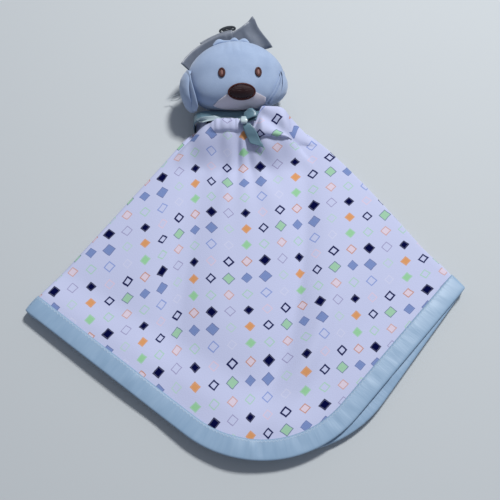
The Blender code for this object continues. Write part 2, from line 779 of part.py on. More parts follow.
def make_panel(name, side, rings, depth, finish, carrier):
    """Half of the velour skin: a cup from the middle of the face or of the back to the seam round the head."""
    middle = np.array((0.0, 0.0, float(side)))
    last = math.acos(PIECE_GAP / 2 / depth)
    angles = [last * number / rings for number in range(1, rings + 1)]
    shape = cushion_mesh(
        head_world(head_surface(middle, VELOUR_THICKNESS)),
        head_world(head_surface(middle)),
        [head_ring(angle, side, VELOUR_THICKNESS) for angle in angles],
        [head_ring(angle, side) for angle in angles],
    )
    return add_object(name, shape, finish, carrier)


def head_ball(inset):
    """The head's whole form at an inset from its surface, or grown where the inset is negative."""
    shape = bmesh.new()
    rings = BACK_RINGS
    angles = [math.pi / 2 * number / rings for number in range(1, rings + 1)]
    front = [head_ring(angle, 1, inset) for angle in angles]
    back = [head_ring(angle, -1, inset) for angle in angles[:-1]]
    outer = fill_rings(shape, head_world(head_surface(np.array((0.0, 0.0, 1.0)), inset)), front)
    inner = fill_rings(shape, head_world(head_surface(np.array((0.0, 0.0, -1.0)), inset)), back)
    join_rings(shape, outer, inner)
    return shape


def make_head(finishes, carrier):
    front = make_panel("head_front", 1, FRONT_RINGS, HEAD_FRONT_DEPTH, finishes["velour"], carrier)
    back = make_panel("head_back", -1, BACK_RINGS, HEAD_BACK_DEPTH, finishes["velour"], carrier)
    stuffing = head_ball(VELOUR_THICKNESS + 2 * PIECE_GAP)
    add_object("head_stuffing", stuffing, finishes["stuffing"], carrier)
    return front, back


def make_head_cutter(finish):
    cutter = add_object("head_seat_cutter", head_ball(-2 * PIECE_GAP), finish)
    cutter.hide_render = True
    cutter.display_type = "WIRE"
    return cutter


# Face


def patch_reach(way):
    """How far the muzzle patch runs from the nose before it meets its border inside the seam."""
    scale = np.array((HEAD_HALF_WIDTH, HEAD_HALF_HEIGHT))
    start = np.array((NOSE_X, NOSE_Y)) / scale
    step = way / scale
    half = float(start @ step)
    whole = float(step @ step)
    left = PATCH_EDGE_SHARE**2 - float(start @ start)
    return (math.sqrt(half**2 + whole * left) - half) / whole


def make_muzzle_patch(finish, carrier):
    """Pale panel that fans out from under the nose to the chin."""
    low = []
    high = []
    columns = NOSE_SEGMENTS // 2
    for column in range(columns + 1):
        way = direction(blend(PATCH_START_DEG, PATCH_END_DEG, column / columns))
        reach = patch_reach(way)
        low_row = []
        high_row = []
        for row in range(CURVE_STEPS):
            out = blend(PATCH_INNER_RADIUS, reach, row / (CURVE_STEPS - 1))
            place = (NOSE_X + way[0] * out, NOSE_Y + way[1] * out)
            low_row.append(over_face(*place, PIECE_GAP))
            high_row.append(over_face(*place, PIECE_GAP + PATCH_THICKNESS))
        low.append(low_row)
        high.append(high_row)
    add_object("muzzle_patch", slab_mesh(low, high), finish, carrier)


def oval(centre, size, lift, segments):
    """A ring of points over the face, on an oval of the given half sizes."""
    ring = []
    for number in range(segments):
        way = direction(360 * number / segments)
        ring.append(over_face(centre[0] + size[0] * way[0], centre[1] + size[1] * way[1], lift))
    return ring


def make_dome(name, centre, size, base, edge, rise, segments, finish, carrier):
    """A padded oval: its underside follows the face and its top is rounded."""
    tops = []
    bottoms = []
    for share in DOME_SHARES:
        ring = (size[0] * share, size[1] * share)
        lift = base + edge + rise * math.sqrt(max(0.0, 1 - share**2))
        tops.append(oval(centre, ring, lift, segments))
        bottoms.append(oval(centre, ring, base, segments))
    peak = over_face(*centre, base + edge + rise)
    shape = cushion_mesh(over_face(*centre, base), peak, bottoms, tops)
    add_object(name, shape, finish, carrier)


def make_rim(name, centre, size, width, base, rise, segments, finish, carrier):
    """A raised oval band of stitches, outside the given half sizes."""
    sections = []
    for out_share, lift_share in ((0.0, 0.0), (1.0, 0.0), (1.0, 0.6), (0.5, 1.0), (0.0, 0.6)):
        ring = (size[0] + width * out_share, size[1] + width * out_share)
        sections.append(oval(centre, ring, base + rise * lift_share, segments))
    shape = grid_mesh(sections, closed_rows=True, closed_columns=True)
    add_object(name, shape, finish, carrier)


def make_face(finishes, carrier):
    make_muzzle_patch(finishes["muzzle"], carrier)
    nose = (NOSE_X, NOSE_Y)
    base = 2 * PIECE_GAP + PATCH_THICKNESS
    inner = (NOSE_HALF_WIDTH - NOSE_BORDER_WIDTH, NOSE_HALF_HEIGHT - NOSE_BORDER_WIDTH)
    pad = (inner[0] - PIECE_GAP, inner[1] - PIECE_GAP)
    make_dome("nose_pad", nose, pad, base, NOSE_EDGE, NOSE_RISE, NOSE_SEGMENTS, finishes["nose"], carrier)
    make_rim(
        "nose_border",
        nose,
        inner,
        NOSE_BORDER_WIDTH,
        base,
        NOSE_BORDER_RISE,
        NOSE_SEGMENTS,
        finishes["nose_border"],
        carrier,
    )
    for side, word in ((-1, "left"), (1, "right")):
        centre = (side * EYE_X, EYE_Y)
        inner = (EYE_HALF_WIDTH - EYE_RIM, EYE_HALF_HEIGHT - EYE_RIM)
        pupil = (inner[0] - PIECE_GAP, inner[1] - PIECE_GAP)
        make_rim(
            f"eye_{word}_rim",
            centre,
            inner,
            EYE_RIM,
            PIECE_GAP,
            EYE_RISE,
            SMALL_SEGMENTS,
            finishes["eye"],
            carrier,
        )
        make_dome(
            f"eye_{word}_centre",
            centre,
            pupil,
            PIECE_GAP,
            EYE_RISE / 2,
            EYE_RISE / 3,
            SMALL_SEGMENTS,
            finishes["eye_centre"],
            carrier,
        )


def make_crown(finish, carrier):
    """Three scalloped tucks in a row, where the crown is gathered shut."""
    steps = 2 * TUCK_COUNT * 4
    rows = []
    for step in range(steps + 1):
        turn = math.pi * TUCK_COUNT * (step / steps - 0.5)
        x = turn / math.pi * TUCK_PITCH
        full = 0.35 + 0.65 * abs(math.cos(turn)) if TUCK_COUNT % 2 else 0.35 + 0.65 * abs(math.sin(turn))
        half_depth = TUCK_HALF_DEPTH * (0.5 + 0.5 * full)
        row = []
        for angle in range(0, 181, 30):
            way = direction(angle)
            row.append(above_head(x, way[0] * half_depth, PIECE_GAP + TUCK_HEIGHT * full * way[1]))
        row.append(above_head(x, 0.0, PIECE_GAP))
        rows.append(row)
    shape = grid_mesh(rows, closed_columns=True)
    bmesh.ops.holes_fill(shape, edges=shape.edges, sides=len(rows[0]))
    add_object("crown_gather", shape, finish, carrier)


# Ears


def ear_point(side, along, across, lift):
    """An ear's point: it hugs the head from -1 at its tip to 1 at its root, and is lifted off its middle."""
    way = direction(blend(EAR_TIP_DEG, EAR_ROOT_DEG, (along + 1) / 2))
    spread = math.radians(EAR_SPREAD_DEG) * across * (1 - EAR_TAPER_SHARE * along)
    unit = np.array((side * way[0] * math.cos(spread), way[1] * math.cos(spread), math.sin(spread)))
    return lifted(unit, EAR_STAND_OFF + lift)


def make_ear_ply(name, side, facing, puff, finish, carrier):
    """One ply of an ear: it lies along the ear's middle and is puffed on the side that it faces."""
    flats = []
    puffs = []
    gap = PIECE_GAP / 2
    for share in EAR_SHARES:
        rise = EAR_RIM + puff * max(0.0, 1 - share**2) ** 0.6
        flat = []
        puffed = []
        for number in range(SMALL_SEGMENTS + 4):
            way = direction(360 * number / (SMALL_SEGMENTS + 4)) * share
            flat.append(ear_point(side, way[0], way[1], facing * gap))
            puffed.append(ear_point(side, way[0], way[1], facing * (gap + rise)))
        flats.append(flat)
        puffs.append(puffed)
    peak = ear_point(side, 0, 0, facing * (gap + EAR_RIM + puff))
    shape = cushion_mesh(ear_point(side, 0, 0, facing * gap), peak, flats, puffs)
    add_object(name, shape, finish, carrier)


def make_ears(finish, head):
    for side, word in ((-1, "left"), (1, "right")):
        carrier = pivot(f"ear_{word}_pivot", ear_point(side, 1.0, 0.0, 0.0), head)
        make_ear_ply(f"ear_{word}_inner", side, -1, EAR_INNER_PUFF, finish, carrier)
        make_ear_ply(f"ear_{word}_outer", side, 1, EAR_OUTER_PUFF, finish, carrier)


# Tapes


def head_side(surface, degrees, height, out):
    """A point outside the head at a plan angle and height: out is measured level from its skin."""
    way = Vector((*direction(degrees), 0.0))
    middle = Vector((HEAD_X, HEAD_Y, height))
    hit = surface.ray_cast(middle + way * BLANKET_SIDE, -way)[0]
    return hit + way * out


def make_tape(name, surface, foot_deg, top_deg, foot_out, top_out, finish, carrier):
    """A stiff satin tape that stands on its edge and leans away from the head, sewn in at its first end."""
    rows = []
    for step in range(CURVE_STEPS + 1):
        share = step / CURVE_STEPS
        foot = head_side(surface, blend(*foot_deg, share), TAPE_FOOT, blend(*foot_out, share**2))
        reach = blend(*top_out, share**2)
        top = head_side(surface, blend(*top_deg, share), TAPE_FOOT, reach)
        top.z += TAPE_RISE
        middle = (foot + top) / 2
        rows.append((foot, middle, top))
    thicken(add_object(name, grid_mesh(rows), finish, carrier), TAPE_THICKNESS)


def make_tapes(finish, head, surface):
    seat = PIECE_GAP + TAPE_THICKNESS
    stack = TAPE_THICKNESS + 2 * PIECE_GAP
    root = head_side(surface, LEFT_TAPE_DEG[0], TAPE_FOOT, seat)
    carrier = pivot("tape_left_pivot", root, head)
    foot = (seat, seat + LEFT_TAPE_FLARE)
    top = (seat + TAPE_LEAN, seat + TAPE_LEAN + LEFT_TAPE_FLARE)
    make_tape("tape_left_long", surface, LEFT_TAPE_DEG, LEFT_TAPE_DEG, foot, top, finish, carrier)
    foot = (foot[0] + stack, foot[1] + stack)
    top = (top[0] + stack, top[1] + stack)
    make_tape("tape_left_short", surface, SHORT_TAPE_DEG, SHORT_TAPE_DEG, foot, top, finish, carrier)
    root = head_side(surface, RIGHT_TAPE_FOOT_DEG[0], TAPE_FOOT, seat)
    carrier = pivot("tape_right_pivot", root, head)
    foot = (seat, seat + RIGHT_TAPE_FLARE)
    top = (seat + TAPE_LEAN, seat + TAPE_LEAN + RIGHT_TAPE_TOP_FLARE)
    make_tape("tape_right", surface, RIGHT_TAPE_FOOT_DEG, RIGHT_TAPE_TOP_DEG, foot, top, finish, carrier)


# Assembly


def stand_on_origin():
    """Moves the toy so that the origin is under the middle of its box."""
    bpy.context.view_layer.update()
    graph = bpy.context.evaluated_depsgraph_get()
    points = []
    for item in bpy.data.objects:
        if item.type == "MESH" and not item.hide_render:
            mesh = item.evaluated_get(graph).to_mesh()
            points.extend(item.matrix_world @ vertex.co for vertex in mesh.vertices)
    low = np.min(points, axis=0)
    high = np.max(points, axis=0)
    shift = Vector((-(low[0] + high[0]) / 2, -(low[1] + high[1]) / 2, -low[2]))
    for item in bpy.data.objects:
        if item.parent is None:
            item.location += shift


def make_lovey():
    clear_scene()
    finishes = {
        "jersey": material("printed jersey", (0.80, 0.80, 0.90), 0.85),
        "satin": material("blue satin", (0.30, 0.50, 0.62), 0.35),
        "ribbon": material("teal ribbon", (0.09, 0.18, 0.21), 0.35),
        "velour": material("blue velour", (0.38, 0.50, 0.70), 0.90),
        "stuffing": material("polyester stuffing", (0.90, 0.90, 0.90), 0.95),
        "muzzle": material("pale muzzle", (0.50, 0.48, 0.50), 0.90),
        "nose": material("brown nose embroidery", (0.030, 0.008, 0.008), 0.60),
        "nose_border": material("brown satin stitch", (0.060, 0.020, 0.015), 0.50),
        "eye": material("brown eye embroidery", (0.055, 0.020, 0.018), 0.50),
        "eye_centre": material("light brown eye embroidery", (0.22, 0.10, 0.08), 0.50),
        "tape": material("grey satin tape", (0.18, 0.18, 0.19), 0.40),
    }
    cloth = make_blanket(finishes)
    band = make_band(finishes["ribbon"])
    make_bow(finishes["ribbon"], surface_of(cloth, band))
    make_neck(finishes["velour"], make_head_cutter(finishes["velour"]))
    head = pivot("head_pivot", (0.0, BAND_HALF, NOD_Z))
    front, back = make_head(finishes, head)
    make_face(finishes, head)
    make_crown(finishes["velour"], head)
    make_ears(finishes["velour"], head)
    make_tapes(finishes["tape"], head, surface_of(front, back))
    stand_on_origin()


make_lovey()
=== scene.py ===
# %% [markdown]
# # A comfort blanket lovey
# A small stuffed puppy head is sewn to the middle of a square baby blanket. The toy lies on its back, and
# the blanket below it is folded in quarters. The frame that is loaded here is the measured model of all its
# pieces. Every soft piece gets a fuller, sewn shape over its solid, and every finish is made of nodes.

# %% The measured frame
import math

import bpy
import numpy as np
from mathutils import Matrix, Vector


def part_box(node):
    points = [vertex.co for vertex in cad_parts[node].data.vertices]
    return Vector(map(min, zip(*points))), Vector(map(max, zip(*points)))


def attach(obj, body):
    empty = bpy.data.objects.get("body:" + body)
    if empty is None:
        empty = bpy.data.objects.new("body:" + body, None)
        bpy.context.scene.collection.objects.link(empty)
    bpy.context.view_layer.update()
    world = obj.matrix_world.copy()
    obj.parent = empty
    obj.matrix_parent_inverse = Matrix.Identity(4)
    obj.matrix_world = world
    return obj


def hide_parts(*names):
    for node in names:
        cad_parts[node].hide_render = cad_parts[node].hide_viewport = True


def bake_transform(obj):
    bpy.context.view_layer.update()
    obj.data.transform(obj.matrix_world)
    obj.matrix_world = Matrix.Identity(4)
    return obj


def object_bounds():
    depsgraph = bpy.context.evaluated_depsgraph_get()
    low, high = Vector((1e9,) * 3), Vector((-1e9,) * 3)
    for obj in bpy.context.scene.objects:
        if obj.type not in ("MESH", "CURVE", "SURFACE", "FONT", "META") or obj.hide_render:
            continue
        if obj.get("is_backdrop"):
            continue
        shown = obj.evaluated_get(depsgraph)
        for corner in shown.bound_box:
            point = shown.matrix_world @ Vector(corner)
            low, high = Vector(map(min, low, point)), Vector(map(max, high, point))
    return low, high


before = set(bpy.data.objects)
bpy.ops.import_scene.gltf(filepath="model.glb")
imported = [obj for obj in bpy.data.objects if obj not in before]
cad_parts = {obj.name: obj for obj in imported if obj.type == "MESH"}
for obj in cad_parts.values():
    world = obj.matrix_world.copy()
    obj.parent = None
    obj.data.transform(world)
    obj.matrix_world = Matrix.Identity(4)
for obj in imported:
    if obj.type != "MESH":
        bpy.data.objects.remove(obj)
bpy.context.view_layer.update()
print("pieces in the frame:", len(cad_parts))

# %% [markdown]
# Lengths are in metres. The neck's middle is where the blanket is gathered, so most places are measured
# from it. It is found from two pieces of the frame: the ribbon band gives its length way, and the knot its
# side way.

# %% Where the neck is
MM = 0.001
KNOT_ASIDE = 3.6 * MM
band_low, band_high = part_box("ribbon_band")
knot_low, knot_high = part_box("ribbon_knot")
NECK = np.array(((knot_low.x + knot_high.x) / 2 - KNOT_ASIDE, (band_low.y + band_high.y) / 2))
print("neck's middle, mm:", NECK / MM)

# %% [markdown]
# A few helpers are used all through the file. Colours are written as they are seen on a screen and turned
# to the linear values that a renderer works in. One function adds a node and sets or links its sockets, by
# name or, as i0, i1 and so on, by number.

# %% Helpers for shapes and finishes


def colour(code):
    """The linear colour of an sRGB hex code."""
    parts = [int(code[place : place + 2], 16) / 255 for place in (1, 3, 5)]
    parts = [part / 12.92 if part <= 0.04045 else ((part + 0.055) / 1.055) ** 2.4 for part in parts]
    return (*parts, 1.0)


def put(finish, kind, settings=None, **sockets):
    """Adds a kind of node to a finish, or takes one that is there, and sets or links its sockets."""
    node = finish.node_tree.nodes.new(kind) if isinstance(kind, str) else kind
    for name, value in (settings or {}).items():
        setattr(node, name, value)
    for name, value in sockets.items():
        name = name.replace("_", " ")
        socket = node.inputs[int(name[1:])] if name[0] == "i" and name[1:].isdigit() else node.inputs[name]
        if isinstance(value, bpy.types.NodeSocket):
            finish.node_tree.links.new(value, socket)
        else:
            socket.default_value = value
    return node


def new_finish(name, **sockets):
    """A finish with one Principled surface, and that surface's node."""
    finish = bpy.data.materials.new(name)
    finish.use_nodes = True
    finish.node_tree.nodes.clear()
    surface = put(finish, "ShaderNodeBsdfPrincipled", **sockets)
    put(finish, "ShaderNodeOutputMaterial", Surface=surface.outputs[0])
    return finish, surface


def laid_over(finish, surface, base, layers, height, depth, strength):
    """Lays colours over a base one, each as far as its share says, and raises the surface by a height."""
    for share, over in layers:
        base = put(finish, "ShaderNodeMix", {"data_type": "RGBA"}, Factor=share, i6=base, i7=over).outputs[2]
    bump = put(finish, "ShaderNodeBump", Strength=strength, Distance=depth, Height=height)
    put(finish, surface, Base_Color=base, Normal=bump.outputs[0])


def shown(name, data):
    """A new object in the scene for a mesh, a curve, a lamp or a camera."""
    made = bpy.data.objects.new(name, data)
    bpy.context.scene.collection.objects.link(made)
    return made


def alone(piece):
    """Chooses one piece only, for the operators that come next."""
    bpy.ops.object.select_all(action="DESELECT")
    bpy.context.view_layer.objects.active = piece
    piece.select_set(True)


def direction(degrees):
    angle = np.radians(degrees)
    return np.stack((np.cos(angle), np.sin(angle)), axis=-1)


def smooth(value):
    value = np.clip(value, 0.0, 1.0)
    return value * value * (3 - 2 * value)


def bell(distance, width):
    return np.exp(-((distance / width) ** 2))


def blend(start, end, share):
    return start + (end - start) * share


print("red thread in linear light:", colour("#8A4A3A"))

# %% [markdown]
# The camera stands where the photographer did: about 68 degrees above the table, half a metre away, with a
# long lens. The floor is a plain pale sheet, and the light comes softly from the upper right.

# %% Camera, floor and lamps
CAMERA_RISE = math.radians(68.0)
CAMERA_AWAY = 0.459
AIM_ASIDE, AIM_BELOW = 0.006, 0.08425
FLOOR_SIZE = 6.0
SKY_STRENGTH = 0.27
KEY_PLACE = (0.42, 0.62, 1.17)
KEY_SIZE, KEY_POWER = 0.20, 17.0
aim = Vector((NECK[0] + AIM_ASIDE, NECK[1] - AIM_BELOW, 0.0))
camera_data = bpy.data.cameras.new("camera")
camera_data.lens = 54.0
camera_data.sensor_width = 36.0
camera = shown("camera", camera_data)
camera.location = aim + CAMERA_AWAY * Vector((0.0, -math.cos(CAMERA_RISE), math.sin(CAMERA_RISE)))
camera.rotation_euler = (math.pi / 2 - CAMERA_RISE, 0.0, 0.0)
bpy.context.scene.camera = camera
bpy.context.scene.view_settings.view_transform = "Standard"

bpy.ops.mesh.primitive_plane_add(size=FLOOR_SIZE)
floor = bpy.context.object
floor.name = "floor"
floor_finish, _ = new_finish("pale sheet", Base_Color=colour("#C5CACC"), Roughness=0.9)
floor.data.materials.append(floor_finish)
floor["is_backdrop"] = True

world = bpy.data.worlds.new("studio")
world.use_nodes = True
world.node_tree.nodes["Background"].inputs["Color"].default_value = colour("#E3ECFF")
world.node_tree.nodes["Background"].inputs["Strength"].default_value = SKY_STRENGTH
bpy.context.scene.world = world


def lamp(name, place, size, power):
    """A square soft lamp that faces the toy."""
    data = bpy.data.lights.new(name, "AREA")
    data.size = size
    data.energy = power
    light = shown(name, data)
    light.location = place
    light.rotation_euler = (aim - light.location).to_track_quat("-Z", "Y").to_euler()
    return light


lamp("key lamp", aim + Vector(KEY_PLACE), KEY_SIZE, KEY_POWER)
print("camera at", camera.location)

# %% [markdown]
# The blanket is one square of cotton jersey, 14 inches a side, with large round corners, gathered at its
# middle and folded in quarters. A cloth simulation would lose the neat folds, so its four layers are laid
# out by numbers, as a pattern cutter would: each runs from the neck to the hem, and a half round of cloth
# joins it to the next at its side.

# %% The blanket's cut and how it is folded
BLANKET_SIDE = 356 * MM
CORNER_RADIUS = 70 * MM
CLOTH_THICKNESS = 0.5 * MM
CLOTH_GAP = 0.5 * MM
BINDING_WIDTH = 10.4 * MM
BINDING_THICKNESS = 0.3 * MM
STITCH_ROOM = 0.3 * MM
SKIN_OFFSET = CLOTH_THICKNESS / 2 + STITCH_ROOM + BINDING_THICKNESS / 2
HEM_HALF = SKIN_OFFSET + BINDING_THICKNESS / 2
HEM_PITCH = 2 * HEM_HALF + 0.4 * MM
LAYER_PITCH = CLOTH_THICKNESS + CLOTH_GAP
RIBBON_THICKNESS = 0.4 * MM
BAND_HALF = 3.25 * MM
COLLAR_FRONT = -BAND_HALF - 1.0 * MM
NECK_LAYER_BASE = RIBBON_THICKNESS + STITCH_ROOM + CLOTH_THICKNESS / 2
STUB_HALF = 6.7 * MM
COLLAR_TOP = NECK_LAYER_BASE + 2 * LAYER_PITCH + CLOTH_THICKNESS + 2 * (STITCH_ROOM + STUB_HALF)
FOLD_LEFT_DEG = 225.5
FOLD_RIGHT_DEG = -40.4
FOLD_LEFT_SHARE = 0.989
FOLD_RIGHT_SHARE = 0.970
TOP_HEM_DEG = (-36.7, 228.0)
LOWER_HEM_DEG = (-31.5, 232.0)
INNER_INSET = 2.0 * MM
SHOULDER_LEFT, SHOULDER_RIGHT, SHOULDER_BACK = -34 * MM, 38.5 * MM, -9.5 * MM
FOLD_BULGE = 5.0 * MM
NECK_RING = 27.0 * MM
COLLAR_ROWS = 18
print("four layers at the hem, mm:", round(4 * HEM_PITCH / MM, 1))

# %% [markdown]
# A quarter of the blanket, seen from above, runs from the gathered neck to the rounded hem. One class draws
# it for each of the four layers, since they differ only in how far they are folded in and in where their
# hem runs.

# %% One quarter of the blanket


class Layer:
    """One quarter of the folded blanket, seen from above: number 1 on top to number 4 on the table."""

    def __init__(self, number):
        self.beneath = 4 - number
        inset = INNER_INSET if number in (2, 3) else 0.0
        half = BLANKET_SIDE / 2
        self.left = half * FOLD_LEFT_SHARE * direction(FOLD_LEFT_DEG) + inset * direction(FOLD_LEFT_DEG + 90)
        self.right = half * FOLD_RIGHT_SHARE * direction(FOLD_RIGHT_DEG)
        left_way, right_way = direction(TOP_HEM_DEG if number == 1 else LOWER_HEM_DEG)
        ahead = np.linalg.solve(np.array((left_way, -right_way)).T, self.right - self.left)[0]
        self.corner = self.left + ahead * left_way
        self.neck_left = inset - NECK_RING
        self.shoulders = np.array(((inset + SHOULDER_LEFT, SHOULDER_BACK), (SHOULDER_RIGHT, SHOULDER_BACK)))
        self.into_left = self.left - self.corner
        self.into_right = self.right - self.corner
        self.lengths = np.linalg.norm(self.into_left), np.linalg.norm(self.into_right)
        self.into_left = self.into_left / self.lengths[0]
        self.into_right = self.into_right / self.lengths[1]
        half_angle = math.acos(float(self.into_left @ self.into_right)) / 2
        self.tangent = CORNER_RADIUS / math.tan(half_angle)
        middle = (self.into_left + self.into_right) / np.linalg.norm(self.into_left + self.into_right)
        self.arc_centre = self.corner + middle * CORNER_RADIUS / math.sin(half_angle)
        self.arc_length = CORNER_RADIUS * (math.pi - 2 * half_angle)
        self.hem_length = sum(self.lengths) - 2 * self.tangent + self.arc_length

    def hem(self, shares):
        """The hem's points at shares of its length from the left fold, and the ways into the cloth there."""
        along = np.asarray(shares) * self.hem_length
        straight = self.lengths[0] - self.tangent
        start = self.corner + self.into_left * self.tangent - self.arc_centre
        across = np.array((-start[1], start[0]))
        turn = np.clip((along - straight) / CORNER_RADIUS, 0.0, self.arc_length / CORNER_RADIUS)[:, None]
        spoke = start * np.cos(turn) + across * np.sin(turn)
        place = self.arc_centre + spoke
        place = place - self.into_left * np.minimum(along - straight, 0.0)[:, None]
        place = place + self.into_right * np.maximum(along - straight - self.arc_length, 0.0)[:, None]
        return place, -spoke / CORNER_RADIUS

    def plan(self, shares, rows):
        """Points from the ribbon to the hem. Rows are shares from the shoulders to the binding's seam."""
        shares = np.asarray(shares)
        side = shares[:, None]
        ring = blend(self.neck_left, NECK_RING, shares)
        shoulder = blend(self.shoulders[0], self.shoulders[1], side)
        shoulder = shoulder + np.array((0.0, 5.5 * MM)) * smooth((side - 0.82) / 0.18)
        place, inward = self.hem(shares)
        edge = np.isin(shares, (0.0, 1.0))[:, None]
        along_fold = (shoulder - place) / np.linalg.norm(shoulder - place, axis=1, keepdims=True)
        inward = np.where(edge, along_fold, inward)
        seam = place + inward * BINDING_WIDTH
        front = np.stack((ring, np.full_like(ring, COLLAR_FRONT)), axis=1)
        back = np.stack((ring, np.full_like(ring, BAND_HALF)), axis=1)
        points = [back, blend(back, front, 0.5)]
        points += [blend(front, shoulder, step / COLLAR_ROWS) for step in range(COLLAR_ROWS)]
        swung = np.array((0.72, 0.69)) * smooth((side - 0.55) / 0.45) * FOLD_BULGE
        points += [blend(shoulder, seam, row) + swung * math.sin(math.pi * row**0.6) for row in rows]
        points += [place + inward * BINDING_WIDTH * 0.5, place + inward * 0.3 * MM]
        return np.stack(points, axis=1)

    def depth_inside(self, places):
        """How far places in plan lie inside the hem."""
        away = places - self.corner
        from_left = away @ np.array((self.into_left[1], -self.into_left[0]))
        from_right = away @ np.array((-self.into_right[1], self.into_right[0]))
        on_arc = np.maximum(away @ self.into_left, away @ self.into_right) < self.tangent
        in_arc = CORNER_RADIUS - np.linalg.norm(places - self.arc_centre, axis=-1)
        return np.where(on_arc, in_arc, np.minimum(from_left, from_right))


LAYERS = [Layer(number) for number in (1, 2, 3, 4)]
print("hem of the top layer, mm:", round(LAYERS[0].hem_length / MM, 1))

# %% [markdown]
# Next the heights. The layers lie close on each other, rise over the stuffed neck, and are thickest at the
# hem, where eight layers of satin lie between them.

# %% Where nothing lifts a layer
ROW_STOPS = ((0.0, 0.05, 10), (0.05, 0.16, 12), (0.16, 0.9, 50), (0.9, 1.0, 9))
ROWS = np.concatenate([np.linspace(*stops)[:-1] for stops in ROW_STOPS])
ROWS = np.append(ROWS, 1.0)
FIRST_ROW = COLLAR_ROWS + 2
NECK_REACH, HEM_REACH = 30 * MM, 24 * MM


def level(layer, points, seam_distance):
    """A layer's height where nothing lifts it."""
    flat = CLOTH_THICKNESS / 2 + layer.beneath * LAYER_PITCH
    neck = NECK_LAYER_BASE + layer.beneath * LAYER_PITCH
    hem = HEM_HALF + layer.beneath * HEM_PITCH
    near_neck = 1 - smooth((COLLAR_FRONT - points[..., 1]) / NECK_REACH)
    near_hem = 1 - smooth(seam_distance / HEM_REACH)
    return flat + (neck - flat) * near_neck + (hem - flat) * near_hem


print("rows of the cloth:", len(ROWS))

# %% [markdown]
# The top layer climbs over the stuffed neck in soft gathers, and swells beside the knot, where more cloth
# was pushed up. It also keeps a valley, a crease and a ridge where a hand pressed it. Each of those is a
# line from a share of the neck's width to a share of the hem's, with a soft trough or bank along it.

# %% The top layer's large folds
GATHER_HEIGHT, GATHER_PITCH = 0.8 * MM, 13 * MM
BUNCH_PLACE, BUNCH_HEIGHT, BUNCH_REACH = (21 * MM, -8.5 * MM), 14 * MM, 13 * MM
VALLEY_LINE, CREASE_LINE, RIDGE_LINE = (0.20, 0.30), (0.92, 0.46), (1.36, 0.46)
SWELL_HEIGHT, RIDGE_HEIGHT = 4.6 * MM, 3.0 * MM
VALLEY_DEPTH, VALLEY_CORE = 4.2 * MM, 1.3 * MM
CREASE_DEPTH, CREASE_CORE = 3.6 * MM, 1.0 * MM


def collar_lift(layer, side, points):
    """The top layer's rise over the stuffed neck, with its gathers and the bunch beside the knot."""
    x, y = points[..., 0], points[..., 1]
    ahead = np.maximum(0.0, COLLAR_FRONT - y)
    fade = np.minimum(1.0, ahead / NECK_REACH)
    fall = np.cos(math.pi / 2 * fade) ** 2
    flank = np.maximum(0.0, 1 - np.abs(x / (NECK_RING + 0.9 * ahead)) ** blend(8, 2, fade))
    rise = (COLLAR_TOP - NECK_LAYER_BASE - layer.beneath * LAYER_PITCH) * flank * fall
    gathers = np.sin(2 * math.pi * x / GATHER_PITCH + 1.2 * np.sin(x / (7 * MM)))
    rise = rise + GATHER_HEIGHT * gathers * flank * fall * fade * 4
    reach = np.hypot(x - BUNCH_PLACE[0], y - BUNCH_PLACE[1])
    edge = np.minimum(1.0, 2 * np.sin(math.pi * side))
    return rise + BUNCH_HEIGHT * bell(reach, BUNCH_REACH) * edge * (1 - flank * fall)


def fold_lift(side, row, width, seam_distance):
    """The top layer's swell, with its valley at the left, its crease at the right and its ridge."""

    def near(line, reach):
        return bell((side - blend(*line, row)) * width, reach)

    edge = np.sin(math.pi * side) ** 0.7
    near_hem = blend(0.35, 1.0, smooth(seam_distance / (48 * MM)))
    before_hem = smooth(4 * (1 - row))
    lift = SWELL_HEIGHT - VALLEY_DEPTH * near(VALLEY_LINE, 15 * MM) - VALLEY_CORE * near(VALLEY_LINE, 5 * MM)
    lift = lift - CREASE_DEPTH * near(CREASE_LINE, 11 * MM) * before_hem
    lift = lift - CREASE_CORE * near(CREASE_LINE, 4 * MM) * before_hem
    lift = lift + RIDGE_HEIGHT * near(RIDGE_LINE, 10 * MM) * smooth(2 * row - 0.8)
    return lift * edge * near_hem * smooth(4 * row)


print("top of the neck, mm:", round(COLLAR_TOP / MM, 1))

# %% [markdown]
# The small folds come last: pleats that fan out of the ribbon, soft waves, a fine ruffle left of the knot,
# and right of it the roll of cloth that leans back over the ribbon and tucks in under itself.

# %% The top layer's small folds
PLEAT_HEIGHT, PLEAT_REACH, WAVE_HEIGHT = 1.2 * MM, 38 * MM, 0.22 * MM
ROLL_LENGTH, ROLL_LEAN, ROLL_RISE, TUCK_DEPTH = 9.5 * MM, 24 * MM, 5.2 * MM, 3.4 * MM
RUFFLE_LENGTH, RUFFLE_LEAN, RUFFLE_RISE = 6 * MM, 5.5 * MM, 3.2 * MM


def relief(side, row, points, seam_distance):
    """Pleats that fan out of the ribbon, and soft waves."""
    x, y = points[..., 0], points[..., 1]
    bearing = np.arctan2(x, -y)
    pleats = np.sin(17 * bearing + 2.2 * np.sin(3 * bearing)) * np.exp(-np.hypot(x, y) / PLEAT_REACH)
    waves = np.sin(x / (13 * MM) + y / (41 * MM)) + 0.7 * np.sin(y / (19 * MM) - x / (33 * MM) + 1.3)
    waves = waves * smooth(seam_distance / (20 * MM))
    return (PLEAT_HEIGHT * pleats + WAVE_HEIGHT * waves) * np.sin(math.pi * side) ** 0.7 * smooth(row * 12)


